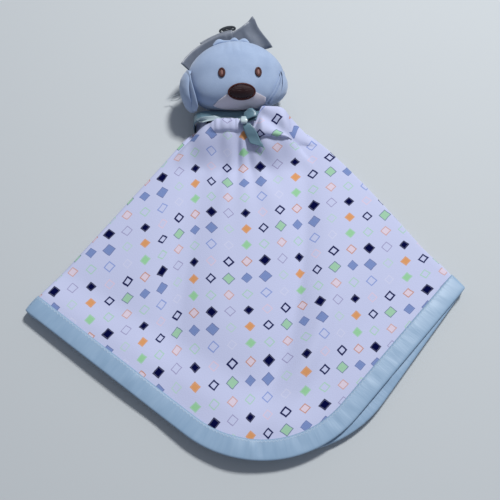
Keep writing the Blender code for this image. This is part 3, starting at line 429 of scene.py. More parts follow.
def puffs(side, points):
    """How far back, and how far up, the gathered cloth beside the knot is pushed over the ribbon."""
    x = points[..., 0]
    ahead = np.clip((COLLAR_FRONT - points[..., 1]) / ROLL_LENGTH, 0.0, 1.0)
    near = np.clip((COLLAR_FRONT - points[..., 1]) / RUFFLE_LENGTH, 0.0, 1.0)
    rolled = smooth((x - 8 * MM) / (6 * MM)) * blend(0.5, 1.0, smooth((39 * MM - x) / (11 * MM)))
    rolled = rolled * smooth((1 - side) / 0.07)
    ruffled = smooth((x + 21 * MM) / (7 * MM)) * smooth((2 * MM - x) / (4 * MM))
    frill = 0.91 + 0.09 * np.sin(2 * math.pi * x / (3.7 * MM) + 2 * np.sin(x / (3.1 * MM)))
    lean = ROLL_LEAN * np.sin(math.pi * ahead) * (1 - 1.38 * ahead)
    rise = ROLL_RISE * np.sin(math.pi * ahead) ** 0.7
    tuck = bell(ahead - blend(0.42, 0.86, (x - 9 * MM) / (26 * MM)), 0.11) * smooth(5 * (1 - ahead))
    small_lean = RUFFLE_LEAN * np.sin(math.pi * near) * (1 - 1.3 * near) * ruffled
    small_rise = RUFFLE_RISE * np.sin(math.pi * near) ** 0.7 * frill * ruffled
    return lean * rolled + small_lean, (rise - TUCK_DEPTH * tuck) * rolled + small_rise


print("roll over the ribbon leans back, mm:", round(ROLL_LEAN / MM, 1))

# %% [markdown]
# Each layer's points are laid out in plan and lifted. Rows near the neck would cross where the cloth turns
# in under the ribbon, so each is first averaged with its neighbours, many times over.

# %% The layers' points
SOFTENING = 14


def layer_grid(layer, shares):
    """The layer's points, column by column from left to right."""
    plan = layer.plan(shares, ROWS)
    last = FIRST_ROW + 10
    for _ in range(SOFTENING):
        plan[:, 3:last] = plan[:, 3:last] / 2 + (plan[:, 2 : last - 1] + plan[:, 4 : last + 1]) / 4
    seam = plan[:, -3]
    seam_distance = np.linalg.norm(plan - seam[:, None], axis=2)
    seam_distance[:, -2:] = 0.0
    if layer.beneath == 3:
        over_hem = np.maximum(0.0, LAYERS[1].depth_inside(plan) - BINDING_WIDTH)
        seam_distance = np.minimum(seam_distance, over_hem)
    height = level(layer, plan, seam_distance)
    if layer.beneath == 3:
        side = np.broadcast_to(np.asarray(shares)[:, None], height.shape)
        row = np.concatenate((np.zeros(FIRST_ROW), ROWS, (1.0, 1.0)))
        row = np.broadcast_to(row, height.shape)
        width = np.linalg.norm(plan[-1] - plan[0], axis=1)[None, :]
        lift = collar_lift(layer, side, plan) + fold_lift(side, row, width, seam_distance)
        lift = lift + relief(side, row, plan, seam_distance)
        height = height + (lift + np.hypot(lift, 0.4 * MM)) / 2
        lean, rise = puffs(side, plan)
        plan = plan + np.stack((np.zeros_like(lean), lean), axis=-1)
        height = height + rise
    return np.concatenate((plan, height[..., None]), axis=2)


TOP_SHARES = np.linspace(0.0, 1.0, 141)
LOWER_SHARES = np.linspace(0.0, 1.0, 61)
grids = [layer_grid(layer, TOP_SHARES if layer.beneath == 3 else LOWER_SHARES) for layer in LAYERS]
print("highest point of the cloth, mm:", round(grids[0][..., 2].max() / MM, 1))

# %% [markdown]
# The print is drawn on the flat cloth, so each point of the folded cloth needs its place on the flat one.
# The top layer lies nearly flat, so that is its place in plan. The others are mirrored over the folds, as
# the cloth is.

# %% Folding the flat cloth over


def mirrored(places, start, way):
    """Places mirrored over a fold line."""
    away = places - start
    along = (away @ way)[..., None] * way
    return start + 2 * along - away


def over_fold(places, side):
    fold_way = direction(FOLD_RIGHT_DEG if side > 0 else FOLD_LEFT_DEG)
    return mirrored(places, LAYERS[0].shoulders[1 if side > 0 else 0], fold_way)


def turn(upper, lower, way, bulge=None):
    """The cloth's half round from one layer's edge to another's."""
    columns = []
    way = np.array((way[0], way[1], 0.0))
    sideways = np.array((math.copysign(1.0, way[0]), 0.0, 0.0))
    share = smooth((np.arange(len(upper)) - 1.0) / 3)[:, None]
    outward = blend(sideways, way, share)
    outward = outward / np.linalg.norm(outward, axis=1, keepdims=True)
    for step in range(1, 6):
        angle = math.pi * step / 6
        half = (upper - lower) / 2
        reach = (bulge or np.linalg.norm(half, axis=1, keepdims=True)) * math.sin(angle)
        columns.append((upper + lower) / 2 + half * math.cos(angle) + outward * reach)
    return np.array(columns)


print("fold lines, degrees:", FOLD_LEFT_DEG, FOLD_RIGHT_DEG)

# %% [markdown]
# Hands pulled the cloth askew when they laid it out, so the print's rows don't run straight. One function
# tells how its rows drop at both sides, and two tables, in millimetres, how far it was pulled aside and
# down besides.

# %% How the print was pulled
ASKEW_LEFT, ASKEW_RIGHT, STRETCHED = 0.245, 0.125, 0.046


def skew(places):
    """How far the print's rows drop at a place."""
    x, y = places[..., 0], places[..., 1]
    valley = np.interp(y, (-190 * MM, -10 * MM), (-58 * MM, -34 * MM))
    crease = np.interp(y, (-190 * MM, -10 * MM), (26 * MM, 18 * MM))
    lean = np.interp(y, (-195 * MM, -155 * MM, -120 * MM, -85 * MM), (0.165, 0.105, 0.05, 0.0))
    left = np.maximum(0.0, valley - x)
    right = np.maximum(0.0, x - crease)
    between = np.clip(x, valley, crease)
    return lean * between + np.maximum(lean, ASKEW_RIGHT) * right - ASKEW_LEFT * left


PULL_ACROSS = np.array((-100, -70, -50, -34, -22, -2, 22, 50, 90)) * MM
PULL_ALONG = np.array((-180, -145, -110, -75, -30, -17)) * MM
PULLED_ASIDE = (
    (-4.4, -1.8, -0.6, -0.7, -1.2, -1.0, 0.9, 0.8, 2.3),
    (-2.2, -2.2, -1.1, 0.2, -0.3, -1.2, -2.2, -1.5, 3.7),
    (0.4, -1.6, -1.4, 0.6, 1.1, 0.5, -1.2, 0.6, 1.1),
    (3.0, 0.4, -0.9, 0.1, 0.6, -0.2, -0.6, 0.9, 0.3),
    (4.3, 2.7, 0.8, 0.5, 0.6, 1.2, 0.3, -0.7, -1.6),
    (4.3, 2.7, 1.2, 0.8, 0.2, 0.2, 0.2, -0.7, -1.6),
)
PULLED_DOWN = (
    (2.7, 0.2, -1.0, 0.3, 2.1, 2.1, 2.5, 1.7, 2.0),
    (2.0, 3.7, 2.5, -1.2, 0.0, 0.5, 0.7, 0.4, 3.5),
    (0.8, 5.8, 5.8, -0.6, 0.5, 2.3, 1.1, 0.6, 2.1),
    (0.6, 3.3, 5.4, 0.6, -1.8, 1.3, -0.1, -1.1, 0.7),
    (-0.9, -1.0, 0.9, -0.8, -4.2, 0.2, -2.0, -4.0, -0.6),
    (-0.5, -0.5, 1.2, 0.6, -1.6, 1.4, 0.2, -3.5, -0.6),
)


def pulled(places, amounts):
    """An amount at each place, between the stations where it was measured."""
    along = np.interp(places[..., 1], PULL_ALONG, np.arange(len(PULL_ALONG)))
    lower = np.minimum(along.astype(int), len(PULL_ALONG) - 2)
    lines = np.array([np.interp(places[..., 0], PULL_ACROSS, line) for line in amounts]) * MM
    here = np.take_along_axis(lines, lower[None], 0)[0]
    above = np.take_along_axis(lines, lower[None] + 1, 0)[0]
    return blend(here, above, along - lower)


print("stations of the pull:", len(PULL_ACROSS), "by", len(PULL_ALONG))

# %% [markdown]
# Now the four layers and the half rounds between them are put side by side, round and round, and become the
# columns of one sheet. The rows that climb over the neck are spaced on the flat print by their true length.

# %% One sheet through four layers
flats = [layer.plan(TOP_SHARES if layer.beneath == 3 else LOWER_SHARES, ROWS) for layer in LAYERS]
skews = [skew(places) for places in flats]
tugs = np.stack([pulled(flats[0], amounts) for amounts in (PULLED_ASIDE, PULLED_DOWN)], axis=-1)
flats[1] = over_fold(flats[1], 1)
flats[3] = over_fold(flats[3], -1)
flats[2] = over_fold(over_fold(flats[2], 1), -1)
for places, drop in zip(flats, skews):
    places[..., 1] -= drop
flats[0][..., 0] -= STRETCHED * np.maximum(0.0, flats[0][..., 0] - 20 * MM)
flats[0] += tugs
flat_row = FIRST_ROW + 7
climb = np.linalg.norm(np.diff(grids[0][:, : flat_row + 1], axis=1), axis=2)
flats[0][:, :flat_row, 1] = flats[0][:, flat_row, 1][:, None] + np.cumsum(climb[:, ::-1], axis=1)[:, ::-1]
right_way = direction(FOLD_RIGHT_DEG + 90)
left_way = direction(FOLD_LEFT_DEG - 90)
around = [grids[0], turn(grids[0][-1], grids[1][-1], right_way), grids[1][::-1]]
around += [turn(grids[1][0], grids[2][0], left_way), grids[2]]
around += [turn(grids[2][-1], grids[3][-1], right_way), grids[3][::-1]]
around += [turn(grids[3][0], grids[0][0], left_way, 1.8 * MM)]
columns = np.concatenate(around)
columns[..., :2] += NECK
spread = []
for number, piece in enumerate(around):
    if number % 2:
        before = spread[-1][-1]
        after = flats[(number // 2 + 1) % 4]
        after = after[-1] if number in (1, 5) else after[0]
        steps = np.linspace(0, 1, len(piece) + 2)[1:-1, None, None]
        spread.append(blend(before[None], after[None], steps))
    else:
        spread.append(flats[number // 2] if number // 2 in (0, 2) else flats[number // 2][::-1])
flat_places = np.concatenate(spread)
print("columns round the four layers:", columns.shape)

# %% [markdown]
# Quads join the columns, and each corner keeps its place on the flat cloth as its UV. A Solidify modifier
# then gives the sheet its thickness, half of it on either side.

# %% The sheet and its thickness


def sheet_mesh(name, points, flat=None, closed=True):
    """A sheet of quads through points[column][row], with each corner's place on the flat cloth as its UV."""
    count, depth = points.shape[:2]
    numbers = np.arange(count * depth).reshape(count, depth)
    after = np.roll(numbers, -1, axis=0) if closed else numbers[1:]
    before = numbers if closed else numbers[:-1]
    faces = np.stack((before[:, :-1], after[:, :-1], after[:, 1:], before[:, 1:]), axis=-1).reshape(-1, 4)
    mesh = bpy.data.meshes.new(name)
    mesh.from_pydata(points.reshape(-1, 3).tolist(), [], faces.tolist())
    if flat is not None:
        corners = np.empty(len(mesh.loops), np.int32)
        mesh.loops.foreach_get("vertex_index", corners)
        places = flat.reshape(-1, 2)[corners].astype(np.float32)
        mesh.uv_layers.new(name="flat").data.foreach_set("uv", places.ravel())
    mesh.shade_smooth()
    return shown(name, mesh)


def thicken(piece, thickness, offset=0.0):
    """Gives a sheet its thickness, and applies it."""
    wall = piece.modifiers.new("thickness", "SOLIDIFY")
    wall.thickness = thickness
    wall.offset = offset
    alone(piece)
    bpy.ops.object.modifier_apply(modifier=wall.name)


cloth = sheet_mesh("printed_jersey", columns, flat_places)
thicken(cloth, CLOTH_THICKNESS)
print("jersey faces:", len(cloth.data.polygons))

# %% [markdown]
# The satin binding is a ribbon folded over the raw edge and sewn through. Its section is drawn at every
# column of the cloth, with small puckers that the stitching pulls into it.

# %% The satin binding
side_step = np.roll(columns, -1, axis=0) - np.roll(columns, 1, axis=0)
normals = np.cross(np.gradient(columns, axis=1), side_step)
normals = normals / np.linalg.norm(normals, axis=2, keepdims=True)
seam, hem = columns[:, -3], columns[:, -1]
seam_normal, hem_normal = normals[:, -3], normals[:, -1]
outward = (hem - seam) / np.linalg.norm(hem - seam, axis=1, keepdims=True)
run = np.concatenate(((0.0,), np.cumsum(np.linalg.norm(np.diff(hem, axis=0), axis=1))))
pucker = 0.5 + 0.25 * np.sin(run / (1.35 * MM))
pucker = pucker + 0.25 * np.sin(run / (2.1 * MM) + 2 * np.sin(run / (17 * MM)))
pucker = pucker + 0.4 * np.sin(run / (6.3 * MM) + 3 * np.sin(run / (29 * MM)))
CREASED_AT = ((-119, -128), (-79, -161), (-63, -172), (5, -214), (9, -213), (71, -209), (78, -207))
CREASED_AT += ((96, -168),)
for x, y in CREASED_AT:
    at = np.argmin(np.hypot(hem[:, 0] - NECK[0] - x * MM, hem[:, 1] - NECK[1] - y * MM))
    pucker = pucker + 2.2 * bell(run - run[at], 1.3 * MM) - 1.2 * bell(run - run[at] - 2.4 * MM, 1.5 * MM)


def binding_side(facing):
    """One face of the binding from its seam to its fold."""
    line = []
    for share in np.linspace(0.0, 1.0, 9):
        normal = blend(seam_normal, hem_normal, share) * facing
        lift = SKIN_OFFSET + 0.35 * MM * (pucker * math.sin(math.pi * share) ** 0.8)[:, None]
        line.append(blend(seam, hem, share) + normal * lift)
    return line


rounding = []
for angle in np.radians((30, 60, 90, 120, 150)):
    out = outward * SKIN_OFFSET * math.sin(angle) * 1.3
    rounding.append(hem + out + hem_normal * SKIN_OFFSET * math.cos(angle))
section = binding_side(1) + rounding + binding_side(-1)[::-1]
binding_points = np.stack(section, axis=1)
across_run = np.concatenate(((0.0,), np.cumsum(np.linalg.norm(np.diff(binding_points[5], axis=0), axis=1))))
binding_flat = np.stack(np.broadcast_arrays(run[:, None], across_run[None, :]), axis=-1)
binding = sheet_mesh("satin_binding", binding_points, binding_flat)
thicken(binding, BINDING_THICKNESS)
print("binding runs round, mm:", round(run[-1] / MM))

# %% [markdown]
# The head, ears, ribbons and tapes start from copies of their measured solids: merged, smoothed by a
# subdivision surface, and then given what a solid leaves out.

# %% Softened copies of the measured pieces


def softened(node, name, levels=2, crisp=False):
    """A smooth copy of a node's mesh that stands for it. A crisp one keeps its cut edges."""
    bend = math.radians(50)
    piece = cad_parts[node].copy()
    piece.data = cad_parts[node].data.copy()
    piece.name = name
    piece.parent = None
    for key in list(piece.keys()):
        del piece[key]
    piece.hide_render = False
    bpy.context.scene.collection.objects.link(piece)
    alone(piece)
    bpy.ops.object.mode_set(mode="EDIT")
    bpy.ops.mesh.select_all(action="SELECT")
    bpy.ops.mesh.remove_doubles(threshold=0.00001)
    bpy.ops.mesh.tris_convert_to_quads(face_threshold=bend, shape_threshold=bend)
    if crisp:
        bpy.ops.mesh.select_all(action="DESELECT")
        bpy.ops.mesh.edges_select_sharp(sharpness=bend)
        bpy.ops.transform.edge_crease(value=1.0)
    bpy.ops.object.mode_set(mode="OBJECT")
    if levels:
        finer = piece.modifiers.new("finer", "SUBSURF")
        finer.levels = finer.render_levels = levels
        bpy.ops.object.modifier_apply(modifier=finer.name)
    piece.data.shade_smooth()
    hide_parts(node)
    return piece


print("triangles of the face's solid:", len(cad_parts["head_front"].data.polygons))

# %% Every measured piece and its copy
copies = {
    "neck_core": "neck_stub",
    "ribbon_band": "neck_ribbon",
    "ribbon_knot": "bow_knot",
    "ribbon_loop": "bow_loop",
    "ribbon_tail_right": "bow_end_right",
    "ribbon_tail_left": "bow_end_left",
    "head_front": "face_panel",
    "head_back": "back_panel",
    "nose_pad": "nose",
    "nose_border": "nose_edge",
    "eye_left_rim": "eye_rim_left",
    "eye_right_rim": "eye_rim_right",
    "eye_left_centre": "eye_left",
    "eye_right_centre": "eye_right",
    "crown_gather": "crown_tucks",
    "ear_left_outer": "ear_outer_left",
    "ear_left_inner": "ear_inner_left",
    "ear_right_outer": "ear_outer_right",
    "ear_right_inner": "ear_inner_right",
    "tape_left_long": "long_tape",
    "tape_left_short": "short_tape",
    "tape_right": "right_tape",
}
CUT_EDGES = ("tape", "tail", "band", "loop")
pieces = {}
for node, name in copies.items():
    pieces[name] = softened(node, name, crisp=any(word in node for word in CUT_EDGES))
print("softened pieces:", len(pieces))

# %% [markdown]
# Embroidery is padded: thread lies over thread until it stands a little off the cloth. Every point of the
# nose and the eyes is moved out along its normal until they meet their borders.

# %% Padded embroidery
PADDING = {"nose": 0.32, "eye_left": 0.08, "eye_right": 0.08, "eye_rim_left": 0.2, "eye_rim_right": 0.2}


def points_of(piece):
    places = np.empty(len(piece.data.vertices) * 3)
    piece.data.vertices.foreach_get("co", places)
    return places.reshape(-1, 3) - (*NECK, 0.0)


def set_points(piece, places):
    piece.data.vertices.foreach_set("co", (places + (*NECK, 0.0)).ravel())
    piece.data.update()


def swell(piece, amount):
    """Moves every point of a piece out along its normal."""
    normals = np.array([point.normal[:] for point in piece.data.vertices])
    set_points(piece, points_of(piece) + normals * amount)


for name, amount in PADDING.items():
    swell(pieces[name], amount * MM)
print("padded:", ", ".join(PADDING))

# %% [markdown]
# The ears, tucks and ribbons have outlines that can be measured on a picture taken from the camera's place.
# So these helpers work in that picture, 500 parts wide: a piece's points are moved across the line of sight
# until its outline runs where it was measured, and toward the camera where it has to lie on top.

# %% Moving points as the camera sees them
PICTURE_WIDE = 500
PICTURE = PICTURE_WIDE * camera_data.lens / camera_data.sensor_width
SIGHT = np.array((0.0, math.cos(CAMERA_RISE), -math.sin(CAMERA_RISE)))
UPWARD = np.array((0.0, math.sin(CAMERA_RISE), math.cos(CAMERA_RISE)))
STOPS, STOP_SHARE, BLUNT = 25, 0.045, 0.45


def seen(places):
    """Where the camera sees places, across and down the picture, and how far away they are."""
    away = places + (*NECK, 0.0) - np.array(camera.location)
    far = away @ SIGHT
    middle = PICTURE_WIDE / 2
    return middle + PICTURE * away[:, 0] / far, middle - PICTURE * (away @ UPWARD) / far, far


def reshape(name, change):
    """Moves a piece's points in the picture and toward the camera, by a change of where they are seen."""
    places = points_of(pieces[name])
    across, down, far = seen(places)
    stops = np.linspace(down.min(), down.max(), STOPS)
    rows = np.abs(down[None, :] - stops[:, None]) < STOP_SHARE * (stops[-1] - stops[0])
    first = np.interp(down, stops, [across[row].min() for row in rows])
    last = np.interp(down, stops, [across[row].max() for row in rows])
    side = np.clip((across - first) / (last - first), 0.0, 1.0)
    new_across, new_down, nearer = change(across, down, side, (down - stops[0]) / (stops[-1] - stops[0]))
    places[:, 0] += (new_across - across) * far / PICTURE
    places -= UPWARD * ((new_down - down) * far / PICTURE)[:, None] + SIGHT * np.reshape(nearer, (-1, 1))
    set_points(pieces[name], places)


def between(left, right, nearer=0.0):
    """A change that fits an outline between two edges, each measured from its top to its low end."""
    left, right = np.array(left), np.array(right)

    def change(across, down, side, share):
        from_middle = 2 * share - 1
        share = 0.5 + 0.5 * from_middle * (1 + BLUNT * (1 - from_middle**2))
        down = blend(left[0, 1], left[-1, 1], share)
        edges = np.interp(down, left[:, 1], left[:, 0]), np.interp(down, right[:, 1], right[:, 0])
        return blend(*edges, side), down, nearer

    return change


nose_across, nose_down, _ = seen(points_of(pieces["nose"]))
print("middle of the nose in the picture:", round(nose_across.mean()), round(nose_down.mean()))

# %% [markdown]
# Each ear is two plies of velour, sewn and turned, so a seam runs down its edge and one ply shows on both
# sides of it. The ears hang against the head and lie on its face panel, which takes a ray from the camera
# to each point.

# %% Ears pressed to the head


def over_face(name, least, most):
    """Moves a piece's points toward the camera, so that it lies on the face panel where it covers it."""
    places = points_of(pieces[name])
    normals = np.array([point.normal[:] for point in pieces[name].data.vertices])
    facing = smooth(0.5 - normals @ SIGHT)
    eye = camera.location
    for number, place in enumerate(places):
        ray = Vector(place + (*NECK, 0.0)) - eye
        found, met, _, _ = pieces["face_panel"].ray_cast(eye, ray)
        room = blend(least, most, facing[number])
        if found and ray.length > (met - eye).length - room:
            places[number] = np.array(eye + ray * (((met - eye).length - room) / ray.length)) - (*NECK, 0.0)
    set_points(pieces[name], places)


LEFT_OUT = ((186.3, 70.5), (183.0, 74.5), (180.4, 80), (179.2, 87))
LEFT_OUT += ((179.8, 94), (181.8, 101), (184.2, 107), (188.5, 112))
LEFT_SEAM = ((186.8, 70.5), (184.6, 74.5), (183.5, 80), (183.0, 88))
LEFT_SEAM += ((183.8, 96), (185.2, 103), (186.4, 108.5), (188.8, 112))
LEFT_IN = ((189.6, 70.5), (191.2, 75), (192.2, 81), (194.0, 88))
LEFT_IN += ((196.0, 95), (197.8, 102), (199.0, 107.5), (196.8, 112))
RIGHT_IN = ((278.6, 71.5), (279.0, 76), (276.5, 84), (273.0, 92), (268.0, 99), (265.0, 103), (265.5, 105))
RIGHT_SEAM = ((280.4, 71.5), (281.2, 76), (279.6, 84), (276.6, 92), (271.8, 99), (269.0, 103), (268.6, 105))
RIGHT_OUT = ((282.0, 71.5), (285.0, 76), (287.4, 82), (287.9, 88))
RIGHT_OUT += ((286.6, 94), (283.0, 99.5), (279.0, 103), (275.0, 105))
LEFT_TUCKED = [(x + 6.0, y) for x, y in LEFT_SEAM]
RIGHT_TUCKED = [(x + 4.0, y) for x, y in RIGHT_SEAM]
ON_TOP = 1.6 * MM
LIES_OVER = {
    "ear_outer_left": (0.3, 1.8),
    "ear_inner_left": (0.4, 3.0),
    "ear_inner_right": (0.3, 2.2),
    "ear_outer_right": (0.4, 3.6),
}


def tip_back(across, down, side, share):
    """The outer ply's low end turns away behind the inner one."""
    return across, down, -3 * MM * smooth((share - 0.6) / 0.35)


reshape("ear_outer_left", between(LEFT_OUT, LEFT_TUCKED))
reshape("ear_outer_left", tip_back)
reshape("ear_inner_left", between(LEFT_SEAM, LEFT_IN, ON_TOP))
reshape("ear_inner_right", between(RIGHT_IN, RIGHT_TUCKED))
reshape("ear_outer_right", between(RIGHT_SEAM, RIGHT_OUT, ON_TOP))
for name, (least, most) in LIES_OVER.items():
    over_face(name, least * MM, most * MM)
print("plies laid over the face:", len(LIES_OVER))

# %% [markdown]
# The crown is closed by a gathering thread, which leaves four knobbly tucks and, below them, creases that
# fade down the forehead. The nose was sewn on a little lower than its solid sits, on the slope down to the
# chin.

# %% Crown, forehead and nose
TUCK_STOPS = (221, 228.6, 229.5, 247)
CREASES = ((225.0, -0.25), (231.5, 0.1), (239.0, 0.15), (250.5, 0.55))
CREASE_CUT = 0.7 * MM
NOSE_LOWER, NOSE_SEATED = 1.6, 0.75


def tucks(across, down, side, share):
    """The crown's tucks spread to the left, where the first is the largest."""
    moved = np.interp(across, (221, 228.6, 229.5, 238, 239, 247), (212.5, 223.0, 229.5, 238.5, 239.5, 249.5))
    sunk = np.interp(across, TUCK_STOPS, (3.8, 2.0, 0.8, 1.4))
    bigger = np.interp(across, TUCK_STOPS, (1.5, 1.5, 1.25, 1.35))
    nearer = np.interp(across, TUCK_STOPS, (2.4, 2.0, 1.0, 1.3)) * MM
    return moved, 41 + (down - 41) * bigger + sunk, nearer


def creased(across, down, side, share):
    """Creases that run down the forehead from between the tucks."""
    depth = 0.0
    for x, lean in CREASES:
        depth = depth + bell(across - x - lean * (down - 44), 1.1) * smooth((55 - down) / 10)
    return across, down, -CREASE_CUT * depth * smooth((down - 40) / 3)


def lowered(across, down, side, share):
    """The nose sits a little lower."""
    return across, down + NOSE_LOWER, 0.0


def on_panel(place):
    """The face panel's nearest point to a place, and its normal there."""
    _, met, normal, _ = pieces["face_panel"].closest_point_on_mesh(Vector(place + (*NECK, 0.0)))
    return met, normal


def height_on_face(place):
    met, normal = on_panel(place)
    return (Vector(place + (*NECK, 0.0)) - met).dot(normal)


reshape("crown_tucks", tucks)
for name in ("nose", "nose_edge"):
    heights = [height_on_face(place) for place in points_of(pieces[name])]
    reshape(name, lowered)
    places = points_of(pieces[name])
    for number, place in enumerate(places):
        met, normal = on_panel(place)
        places[number] = np.array(met + normal * (NOSE_SEATED * heights[number])) - (*NECK, 0.0)
    set_points(pieces[name], places)
reshape("face_panel", creased)
print("nose stands off the face, mm:", round(NOSE_SEATED * max(heights) / MM, 2))

# %% [markdown]
# The bow is small and soft: the knot is squeezed, the loop beside it is pulled small, and the end that lies
# on the neck is folded narrow and goes in under the gathers.

# %% Knot, loop and ribbon end
KNOT_LEFT = ((241.5, 116.5), (239.8, 120), (241.3, 124))
KNOT_RIGHT = ((246.0, 116.5), (248.2, 120), (247.0, 124))
LOOP_LEFT = ((248.0, 108), (244.0, 112.5), (243.6, 117), (245.5, 121.5))
LOOP_RIGHT = ((252.5, 108), (258.0, 112.5), (257.0, 117), (252.5, 121.5))
KNOT_NEARER = 1.2 * MM
LOOP_FROM, LOOP_PULL = 7 * MM, (-0.36, -0.30, 0.25)
NARROW, END_LENGTH = 0.4, 26 * MM


def tucked_behind(across, down, side, share):
    """The ribbon end's root goes in under the gathers left of the knot."""
    under = smooth((across - 214) / 8)
    return across, down + 2.5 * under, -1.6 * MM * under


reshape("bow_knot", between(KNOT_LEFT, KNOT_RIGHT, KNOT_NEARER))
places = points_of(pieces["bow_loop"])
places += np.maximum(0.0, places[:, :1] - LOOP_FROM) * LOOP_PULL
set_points(pieces["bow_loop"], places)
reshape("bow_loop", between(LOOP_LEFT, LOOP_RIGHT))

places = points_of(pieces["bow_end_left"])
share = np.clip(-places[:, 0] / END_LENGTH, 0.0, 1.0)
centre = -3.8 * MM - 0.1 * -places[:, 0]
narrowed = smooth(2.5 * share)
places[:, 1] = centre + (places[:, 1] - centre) * blend(1.0, NARROW, narrowed) + 3.0 * MM * narrowed
places[:, 2] += 0.6 * MM * narrowed
set_points(pieces["bow_end_left"], places)
reshape("bow_end_left", tucked_behind)
print("loop's width, mm:", round(float(np.ptp(points_of(pieces["bow_loop"])[:, 0])) / MM, 1))

# %% [markdown]
# The satin tapes stand behind the crown, and their grey is painted shade. Satin tape curls along its edges,
# so the right one gets hollow edges and a ripple, and all three lean toward the crown that they are caught
# in.

# %% Tapes
UPRIGHT_FROM, UPRIGHT_OVER = 13 * MM, 12 * MM


def upright_share(places):
    return np.clip((places[:, 2] - UPRIGHT_FROM) / UPRIGHT_OVER, 0.0, 1.0)


places = points_of(pieces["right_tape"])
upright = upright_share(places)
outer = smooth((places[:, 0] + 4 * MM) / (14 * MM))
places[:, 0] -= 4.5 * MM * (1 - outer)
places[:, 1] += (3.6 * upright * outer - 1.0 * (1 - upright) * outer + 0.8) * MM
places[:, 2] += 3.0 * MM * upright * outer
set_points(pieces["right_tape"], places)


def curled(across, down, side, share):
    """The right tape's edges hollow, and its tip lower."""
    fallen = np.clip((32 - down) / 18, 0.0, 1.0)
    hollow_left = 1.9 * np.sin(math.pi * np.clip((down - 14) / 18, 0.0, 1.0)) * (1 - side)
    hollow_right = 2.7 * np.sin(math.pi * np.clip((down - 14) / 30, 0.0, 1.0)) ** 1.5 * side
    ripple = 0.8 * MM * np.sin((across - 0.6 * down) / 3.2) * smooth((across - 240) / 8)
    return across + hollow_left - hollow_right, down + 3.0 * fallen, ripple


reshape("right_tape", curled)
for name in ("long_tape", "short_tape"):
    places = points_of(pieces[name])
    upright = upright_share(places)
    near_crown = smooth((places[:, 0] + 30 * MM) / (26 * MM))
    places[:, 1] += 1.6 * MM * upright * near_crown
    places[:, 2] += 1.4 * MM * upright * near_crown
    set_points(pieces[name], places)
print("tapes' highest point, mm:", round(float(points_of(pieces["right_tape"])[:, 2].max()) / MM, 1))

# %% [markdown]
# The muzzle panel is a paler piece of velour under the nose that spreads down to the chin. It is cut by its
# outline as the photographer saw it: rays along the camera's line find its places on the face panel.

# %% Muzzle panel
PANEL_TOP = ((-16.5, 0.1), (-13.2, 3.7), (-8.3, 8.1), (-3.0, 10.0), (3.5, 10.0), (9.1, 10.0), (15.7, 5.9))
PANEL_OFF, PANEL_THICKNESS = 0.32 * MM, 0.5 * MM
PANEL_LOW = ((-16.5, 0.0), (-13.4, -1.6), (-9.4, -2.6), (-4.5, -3.2), (1.7, -3.2), (9.7, -1.6), (15.3, 1.6))
face = pieces["face_panel"]


def on_face(x, y, lift):
    """The face panel's place that the photographer saw behind a point 30 mm over the table."""
    ray = Vector((NECK[0] + x * MM, NECK[1] + y * MM, 30 * MM)) - camera.location
    found, place, normal, _ = face.ray_cast(camera.location, ray)
    return np.array(place + normal * lift) if found else None


panel_rows = []
for share in np.linspace(0.0, 1.0, 33):
    line = []
    for row in np.linspace(0.0, 1.0, 17):
        stops = np.linspace(0.0, 1.0, len(PANEL_TOP))
        top = [np.interp(share, stops, [stop[axis] for stop in PANEL_TOP]) for axis in (0, 1)]
        low = [np.interp(share, stops, [stop[axis] for stop in PANEL_LOW]) for axis in (0, 1)]
        place = on_face(blend(top[0], low[0], row), blend(top[1], low[1], row), PANEL_OFF)
        line.append(line[-1] + (0.0, 0.0, -0.3 * MM) if place is None else place)
    panel_rows.append(line)
panel = sheet_mesh("muzzle_panel", np.array(panel_rows), closed=False)
thicken(panel, PANEL_THICKNESS)
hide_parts("muzzle_patch")
pieces["muzzle_panel"] = panel
print("muzzle panel faces:", len(panel.data.polygons))

# %% [markdown]
# Some sewing threads were left on the toy: a dark loop of thread behind the crown, where the tapes are
# caught, and pale ends that stick out at the left ear. Each is a thin tube along a few points.

# %% Threads


def thread(name, places, thickness):
    """A round thread through a few places, given in millimetres from the neck's middle."""
    curve = bpy.data.curves.new(name, "CURVE")
    curve.dimensions = "3D"
    curve.bevel_depth = thickness / 2
    curve.bevel_resolution = 2
    curve.use_fill_caps = True
    spline = curve.splines.new("NURBS")
    spline.points.add(len(places) - 1)
    for point, (x, y, z) in zip(spline.points, places):
        point.co = (NECK[0] + x * MM, NECK[1] + y * MM, z * MM, 1.0)
    spline.use_endpoint_u = True
    spline.order_u = 3
    alone(shown(name, curve))
    bpy.ops.object.convert(target="MESH")
    bpy.context.object.data.shade_smooth()
    return bpy.context.object


THREADS = {
    "dark_thread": (
        1.4,
        ((-7.0, 58.3, 22.0), (-12.6, 59.4, 23.6), (-14.4, 60.8, 24.2), (-9.5, 62.4, 26.0))
        + ((-4.2, 62.2, 26.4), (-3.6, 60.7, 25.4), (-8.6, 60.4, 24.6), (-12.6, 60.8, 24.6))
        + ((-10.6, 61.8, 25.6), (-5.2, 61.4, 25.6), (-6.4, 60.0, 24.6), (-11.6, 59.8, 24.0)),
    ),
    "thread_end_upper": (
        0.35,
        ((-31.0, 23.0, 15.0), (-36.5, 22.4, 13.0), (-39.5, 22.6, 10.5))
        + ((-42.4, 21.6, 8.0), (-45.0, 21.9, 7.0), (-48.4, 20.6, 6.0)),
    ),
    "thread_end_lower": (
        0.35,
        ((-31.0, 20.8, 14.0), (-36.5, 20.0, 12.0), (-39.0, 19.6, 9.0))
        + ((-41.6, 18.6, 7.0), (-43.6, 19.6, 5.0), (-46.0, 20.8, 3.5)),
    ),
}
for name, (thickness, places) in THREADS.items():
    pieces[name] = thread(name, places, thickness * MM)
print("threads:", len(THREADS))

